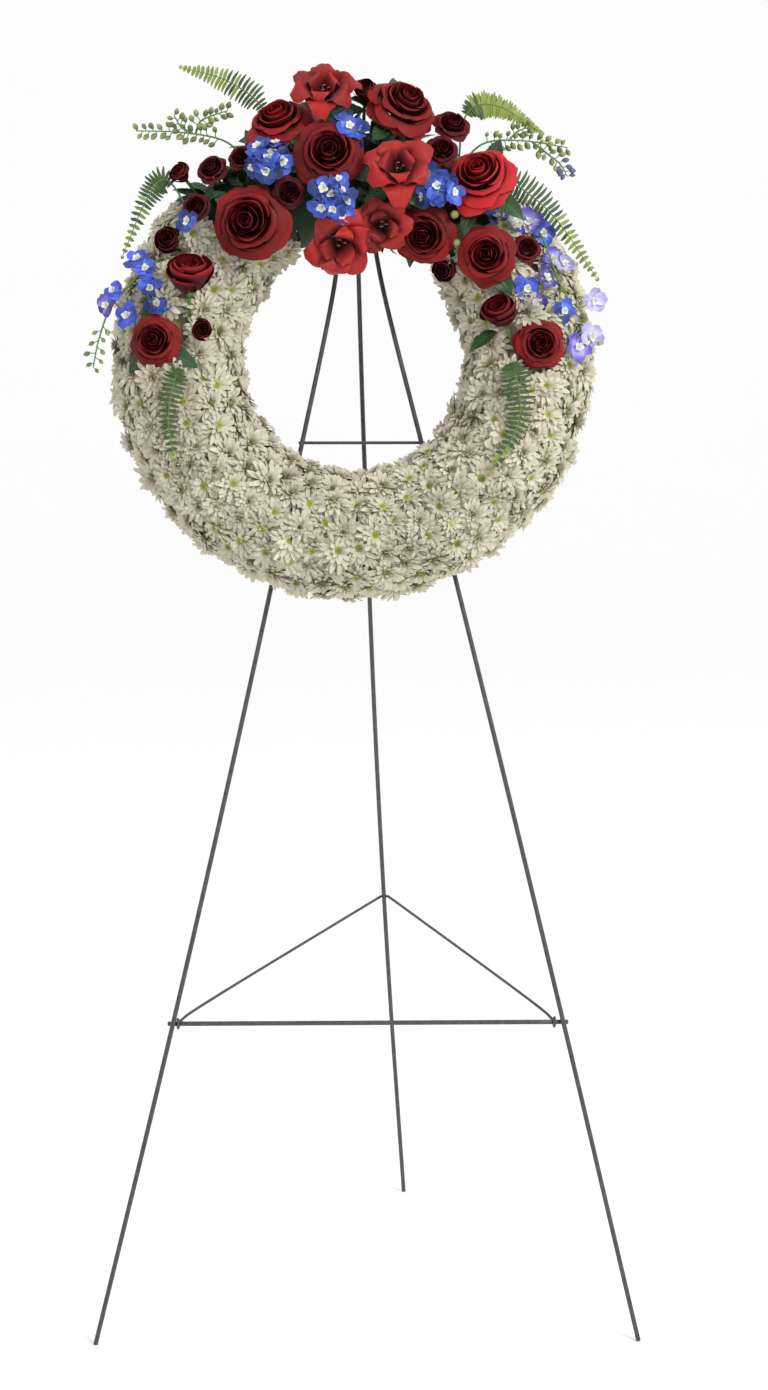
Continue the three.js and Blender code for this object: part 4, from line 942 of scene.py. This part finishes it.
for number, (points, half, bare, light, apart) in enumerate(FERNS, 1):
    rng = np.random.default_rng(500 + number)
    path = curved(points, FROND_STEPS)
    parts = [rod(path[::5], np.linspace(1.4, 0.5, len(path[::5])), 8, tone=0.3, finish=1)]
    pairs = int(np.sum(np.linalg.norm(np.diff(path, axis=0), axis=1)) * (1 - bare) / apart)
    for k in range(pairs):
        share = k / (pairs - 1)
        i = int((bare + (0.985 - bare) * share) * (FROND_STEPS - 1))
        reach = half * min(1, 0.45 + 4 * share) * (1 - 0.86 * max(0, (share - 0.3) / 0.7) ** 1.4)
        ahead, across = ways_at(path, i)
        for way in (-1, 1):
            lift = Vector((0, 0, rng.uniform(-0.25, 0.10)))
            out = (across * way + ahead * (0.15 + 0.45 * share**2) + lift).normalized()
            up = (Vector((0, 0, 1)) + across * rng.uniform(-0.5, 0.5) + ahead * 0.15).normalized()
            right = out.cross(up).normalized()
            turn = Matrix((right * way, out, right.cross(out))).transposed().to_4x4()
            shade = np.clip(0.5 + rng.uniform(-0.25, 0.25), 0.02, 1)
            young = share + light - 0.5 + rng.uniform(-0.15, 0.15) > 0.62
            blade = leaflet(reach * rng.uniform(0.88, 1.05), 4.0 + 1.0 * share, shade, 2 if young else 0)
            parts.append(carried(blade, Matrix.Translation(Vector(path[i])) @ turn))
    pinned(f"fern_frond_{number}", parts, [LEAFLET, STALK, YOUNG_LEAFLET], f"fern_{number}")


# Greens: rose foliage and stems packed over the foam behind the roses, in four stretches across the top.
# Thin sprigs of closed delphinium buds and a few round green berries stand out of them.
# A sprig is its path, the bare share of its stalk and its number of buds.
GREENS_REACH = 48
GREENS_SECTORS = 4
SPRIGS = {
    1: [
        ([(-126, 236, 78), (-158, 268, 84), (-212, 281, 76), (-272, 287, 58)], 0.40, 22),
        ([(-200, 280, 78), (-214, 288, 77), (-223, 303, 72)], 0.2, 8),
        ([(-196, 279, 79), (-190, 294, 80), (-174, 302, 80), (-156, 308, 78)], 0.2, 13),
    ],
    4: [
        ([(136, 240, 84), (166, 266, 86), (214, 271, 76), (272, 266, 58)], 0.36, 22),
        ([(226, 270, 75), (246, 255, 72), (262, 243, 68), (271, 229, 62)], 0.1, 15),
        ([(196, 270, 80), (208, 282, 80), (222, 288, 76)], 0.3, 7),
    ],
}
BERRIES = [(125, 165, 150, 5.5), (128, 132, 140, 5.0)]
BERRY = [(0.002, -1), (0.6, -0.8), (1, 0), (0.75, 0.7), (0.25, 0.95), (0.002, 0.8)]


def on_cover(angle, tilt, distance):
    """A place on the flower cover, and the way it faces. Angle runs clockwise from the top, tilt across the ring."""
    a, t = math.radians(angle), math.radians(tilt)
    outwards = Vector((math.sin(a), math.cos(a), 0))
    facing = outwards * math.sin(t) + Vector((0, 0, math.cos(t)))
    return outwards * RING_RADIUS + Vector((0, 0, SECTION_CENTRE)) + facing * distance, facing


def packed_core(start, end, half_width, front, rng):
    """The close mass of stems under the leaves or heads, uneven all over and flat at the back."""
    grid = np.empty((24, 26, 3))
    for i, angle in enumerate(np.linspace(start, end, 24)):
        for j, tilt in enumerate(np.linspace(-128, 128, 26)):
            t = math.radians(tilt)
            reach = 1 / math.hypot(math.sin(t) / half_width, math.cos(t) / (front - SECTION_CENTRE))
            if math.cos(t) < 0:
                reach = min(reach, 30 / max(1e-6, -math.cos(t)))
            grid[i, j] = on_cover(angle, tilt, reach)[0]
    return sheet(grid + rng.normal(0, 0.5, grid.shape), tone=0.4, finish=2)


CORE_GREEN = fleshed(
    "packed_stems", (0.012, 0.035, 0.008), (0.02, 0.05, 0.012), 0.8, Tone_spread=0.4, Veins=0.8, Vein_count=30.0)
BUD_DUSK = fleshed("bud_dusk", (0.10, 0.10, 0.14), (0.09, 0.08, 0.22), 0.5, Tone_spread=0.6, Veins=0.4)


def budded_sprig(points, bare, buds, rng, dusk):
    """A thin stalk with closed buds on both sides; on a dusky one the outer buds are bluish."""
    path = curved(points, 80)
    parts = [rod(path, np.linspace(1.5, 0.7, 80), 8, finish=1)]
    for k in range(buds):
        i = int(79 * (bare + (0.99 - bare) * k / (buds - 1)))
        root, (ahead, across) = Vector(path[i]), ways_at(path, i)
        across = across * (1 if k % 2 else -1)
        out = (across + ahead * rng.uniform(0.1, 0.6) + Vector((0, 0, rng.uniform(-0.3, 0.5)))).normalized()
        spot = root + out * (rng.uniform(3, 10) * (1 - 0.5 * k / buds))
        parts.append(rod(curved([root, root.lerp(spot, 0.5) + ahead * 1.2, spot], 5), 0.6, 6, finish=1))
        turn = standing(spot - out * 0.5, (out + ahead * 0.5).normalized())
        parts.append(carried(bud(rng.uniform(7, 11), rng, 4 if dusk and k > buds * 0.5 else 3), turn))
    return gathered(parts)


for sector in range(1, GREENS_SECTORS + 1):
    rng = np.random.default_rng(600 + sector)
    span = 2 * GREENS_REACH / GREENS_SECTORS
    start = -GREENS_REACH + (sector - 1) * span
    half_width, front = (66, 104) if sector in (2, 3) else (58, 94)
    parts = [packed_core(start, start + span, half_width, front, rng)]
    leaves = 66
    for k in range(leaves):
        angle = start + span * rng.uniform(0.02, 0.98)
        tilt = -78 + 190 * (k + rng.uniform()) / leaves
        # None at the inner edge, but behind the gladiolus
        if tilt < -30 and (angle < -8 or angle > 34):
            continue
        spot, facing = on_cover(angle, tilt, (half_width - 8) + rng.uniform(-4, 8))
        along = Vector((math.cos(math.radians(angle)), -math.sin(math.radians(angle)), 0)) * rng.choice([-1, 1])
        out = facing * rng.uniform(0.25, 1.1) + along * rng.uniform(0, 1)
        out = (out + facing.cross(along) * rng.uniform(-0.9, 0.9)).normalized()
        right = out.cross(facing + Vector(rng.uniform(-0.3, 0.3, 3))).normalized()
        turn = Matrix((right, out, right.cross(out))).transposed().to_4x4()
        blade = leaf(rng.uniform(30, 46), rng.uniform(17, 26), rng, 8)
        parts.append(carried(blade, Matrix.Translation(spot) @ turn))
    for order, (points, bare, buds) in enumerate(SPRIGS.get(sector, [])):
        parts.append(budded_sprig(points, bare, buds, rng, sector == 4 and order == 1))
    for x, y, z, size in BERRIES if sector == 4 else []:
        spot = Vector((x, y, z))
        parts.append(turned(BERRY, 14, standing(spot, looks(spot, 1), size), 3))
        parts.append(rod([section_centre(spot), spot], 0.9, 6, finish=1))
    finishes = [ROSE_LEAF, STALK, CORE_GREEN, BUD_GREEN, BUD_DUSK]
    pinned(f"greens_cover_{sector}", parts, finishes, f"greens_{sector}")


# Chrysanthemums: white daisy heads about 50 mm across, set close all over the rest of the ring.
# Each has four rounds of cream rays round a yellow-green eye, and two more while it is still closed.
# Their stems are pushed into the foam.
HEAD_RADIUS = 25
MUM_SECTORS = 6
MUM_DISTANCE = 70
MUM_SPACING = 31
MUM_TILT = 112
RAY = fleshed(
    "chrysanthemum_ray", (0.39, 0.38, 0.19), (0.545, 0.505, 0.39), 0.65, 0.5, 0.0004,
    constants={"Specular_IOR_Level": 0.25},
    Lip_start=0.0, Lip_end=0.5, Tone_spread=0.28, Veins=0.15, Vein_count=5.0,
)
MUM_EYE = fleshed(
    "chrysanthemum_eye", (0.20, 0.24, 0.03), (0.50, 0.52, 0.10), 0.7, 0.8, 0.0012,
    Tone_spread=0.8, Veins=0.6, Vein_count=16.0,
)
MUM_CORE = fleshed(
    "chrysanthemum_stems", (0.38, 0.36, 0.24), (0.46, 0.43, 0.30), 0.8, Tone_spread=0.4, Veins=0.8, Vein_count=30.0)


def ray(turn, start, length, width, lift, droop, rng, tone):
    """One strap petal from the eye outwards, channelled along its middle."""
    t = np.linspace(0, 1, 5)
    pitch, step = lift - droop * t**1.5, length / 4
    x = start + np.concatenate([[0], np.cumsum(np.cos(pitch[1:]) * step)])
    z = np.concatenate([[0], np.cumsum(np.sin(pitch[1:]) * step)])
    half = width / 2 * np.array([0.45, 0.8, 1.0, 0.95, 0.45])[:, None]
    s = np.array([-1, 0, 1])
    twist = rng.uniform(-0.35, 0.35) * t[:, None]
    z = z[:, None] + 0.28 * half * np.abs(s) + half * s * np.sin(twist)
    return sheet(swung(turn, x[:, None], half * s * np.cos(twist), z), tone=tone)


# Rounds of rays: how many, where they start, length, width, lift, droop and height
OPEN_ROUNDS = [
    (19, 4.5, HEAD_RADIUS - 2.5, 6.2, 0.05, 0.45, 0.0),
    (17, 4.0, HEAD_RADIUS - 6.0, 6.0, 0.32, 0.50, 1.6),
    (13, 3.5, HEAD_RADIUS - 10.5, 5.6, 0.62, 0.60, 2.8),
    (9, 3.0, HEAD_RADIUS - 14.5, 5.0, 0.95, 0.60, 3.6),
]
INNER_ROUNDS = [(8, 1.5, 9.0, 4.2, 1.15, 0.3, 4.4), (5, 0.4, 7.5, 3.8, 1.35, -0.1, 5.0)]


def daisy_head(rng, open_eye):
    """A head with its eye open, or with the inner rays still closed over it."""
    parts = []
    for count, start, length, width, lift, droop, height in OPEN_ROUNDS + ([] if open_eye else INNER_ROUNDS):
        first = rng.uniform(0, 6.28)
        for k in range(count):
            turn = first + 2 * math.pi * k / count + rng.uniform(-0.16, 0.16)
            reach, wide = length * rng.uniform(0.82, 1.08), width * rng.uniform(0.8, 1.15)
            pitch, fall = lift + rng.uniform(-0.2, 0.2), droop + rng.uniform(-0.4, 0.35)
            strap = ray(turn, start, reach, wide, pitch, fall, rng, rng.uniform(0.15, 0.85))
            parts.append(carried(strap, Matrix.Translation((0, 0, height))))
    r = np.array([5.2, 4.8, 3.6, 2.0, 0.05])[:, None] * (rng.uniform(0.75, 1.05) if open_eye else 0.5)
    a = np.linspace(0, 2 * math.pi, 12, endpoint=False)
    z = np.array([2.5, 4.8, 6.0, 6.2, 5.7])[:, None] + rng.uniform(-0.35, 0.35, (5, 12))
    eye = spread(r * np.cos(a), r * np.sin(a), z)
    parts.append(sheet(eye, along=np.linspace(1, 0, 5)[:, None], tone=rng.uniform(0, 1), wrap=True, finish=1))
    return gathered([*parts, rod([(0, 0, 3), (0, 0, -26)], 1.4, 5, finish=3)])


def clear_of_blooms(spot):
    return all((spot - Vector(b[:3])).length > b[3] / 2 + 6 for b in ROSES + SPRAY_ROSES + GLADIOLI)


mum_rng = np.random.default_rng(700)
HEADS = [daisy_head(mum_rng, k % 2 == 0) for k in range(16)]
mum_total = 360 - 2 * GREENS_REACH
mum_span = mum_total / MUM_SECTORS
sector_parts = [[] for _ in range(MUM_SECTORS)]
rows = int(2 * MUM_TILT / math.degrees(MUM_SPACING * 0.84 / MUM_DISTANCE))
for row in range(rows + 1):
    tilt = -MUM_TILT + 2 * MUM_TILT * row / rows
    radius = RING_RADIUS + MUM_DISTANCE * math.sin(math.radians(tilt))
    count = round(math.radians(mum_total) * radius / MUM_SPACING)
    for k in range(count):
        angle = GREENS_REACH + mum_total * (k + 0.5 * (row % 2) + 0.25 + mum_rng.uniform(-0.15, 0.15)) / count
        angle = min(angle, GREENS_REACH + mum_total - 0.5)
        spot, facing = on_cover(angle, tilt + mum_rng.uniform(-5, 5), MUM_DISTANCE + mum_rng.uniform(-4, 4))
        if not clear_of_blooms(spot):
            continue
        to_viewer = Vector((0, 0, 0.7 * max(0, abs(math.sin(math.radians(tilt))) - 0.4)))
        look = (facing + to_viewer + Vector(mum_rng.uniform(-0.38, 0.38, 3))).normalized()
        size = mum_rng.uniform(0.9, 1.14)
        head = HEADS[mum_rng.integers(len(HEADS))]
        head = carried(head, standing(spot, look, size, mum_rng.uniform(0, 6.28)), mum_rng.uniform(-0.25, 0.25))
        sector_parts[int((angle - GREENS_REACH) // mum_span)].append(head)
# A few heads close the inner edge under the first large rose
for angle, tilt in ((-45, -62), (-42, -88), (-38, -70), (-35, -96), (-31, -80)):
    spot, facing = on_cover(angle, tilt, MUM_DISTANCE - 8)
    turn = standing(spot, (facing + Vector((0, 0, 0.9))).normalized(), 0.9, mum_rng.uniform(0, 6.28))
    sector_parts[-1].append(carried(HEADS[mum_rng.integers(len(HEADS))], turn))
for sector, parts in enumerate(sector_parts):
    start = GREENS_REACH + sector * mum_span
    parts.append(packed_core(start, start + mum_span, 58, 92, np.random.default_rng(750 + sector)))
    finishes = [RAY, MUM_EYE, MUM_CORE, STALK]
    pinned(f"daisies_{sector + 1}", parts, finishes, f"chrysanthemums_{sector + 1}")


# Stage: a plain white floor that sweeps up into a wall far behind, in a bright even room,
# with one large soft lamp high in front on the right, which throws the feet's short shadows to the left.
def white_sweep():
    mesh = bpy.data.meshes.new("studio_floor")
    reach, bend, sweep = 30.0, 6.0, 4
    line = [(-reach, 0.0), (bend, 0.0)]
    line += [(bend + sweep * math.sin(a), sweep - sweep * math.cos(a)) for a in np.linspace(0.1, math.pi / 2, 12)]
    line.append((bend + sweep, reach))
    points = [(x, y, z) for y, z in line for x in (-reach, reach)]
    faces = [(2 * i, 2 * i + 1, 2 * i + 3, 2 * i + 2) for i in range(len(line) - 1)]
    mesh.from_pydata(points, [], faces)
    mesh.polygons.foreach_set("use_smooth", np.ones(len(faces), dtype=bool))
    material, tree, shader = finish_of("floor_white", 0.9, Specular_IOR_Level=0.0)
    mottled(tree, shader, pattern(tree, "Noise", "Fac", Scale=2.0), (0.975, 0.975, 0.975), (0.985, 0.985, 0.985))
    mesh.materials.append(material)
    floor = bpy.data.objects.new("studio_floor", mesh)
    scene.collection.objects.link(floor)


white_sweep()
room = bpy.data.worlds.new("studio_room")
room.use_nodes = True
room.node_tree.nodes["Background"].inputs["Color"].default_value = (1, 1, 1, 1)
room.node_tree.nodes["Background"].inputs["Strength"].default_value = 0.95
scene.world = room
scene.view_settings.view_transform = "Standard"

light = bpy.data.lights.new("key_lamp", "AREA")
light.shape = "DISK"
light.size = 1.0
light.energy = 102
lamp = bpy.data.objects.new("key_lamp", light)
lamp.location = (2.2, -3.0, 3.4)
aim = Vector((0, -0.1, 1.0)) - lamp.location
lamp.rotation_euler = aim.to_track_quat("-Z", "Y").to_euler()
scene.collection.objects.link(lamp)
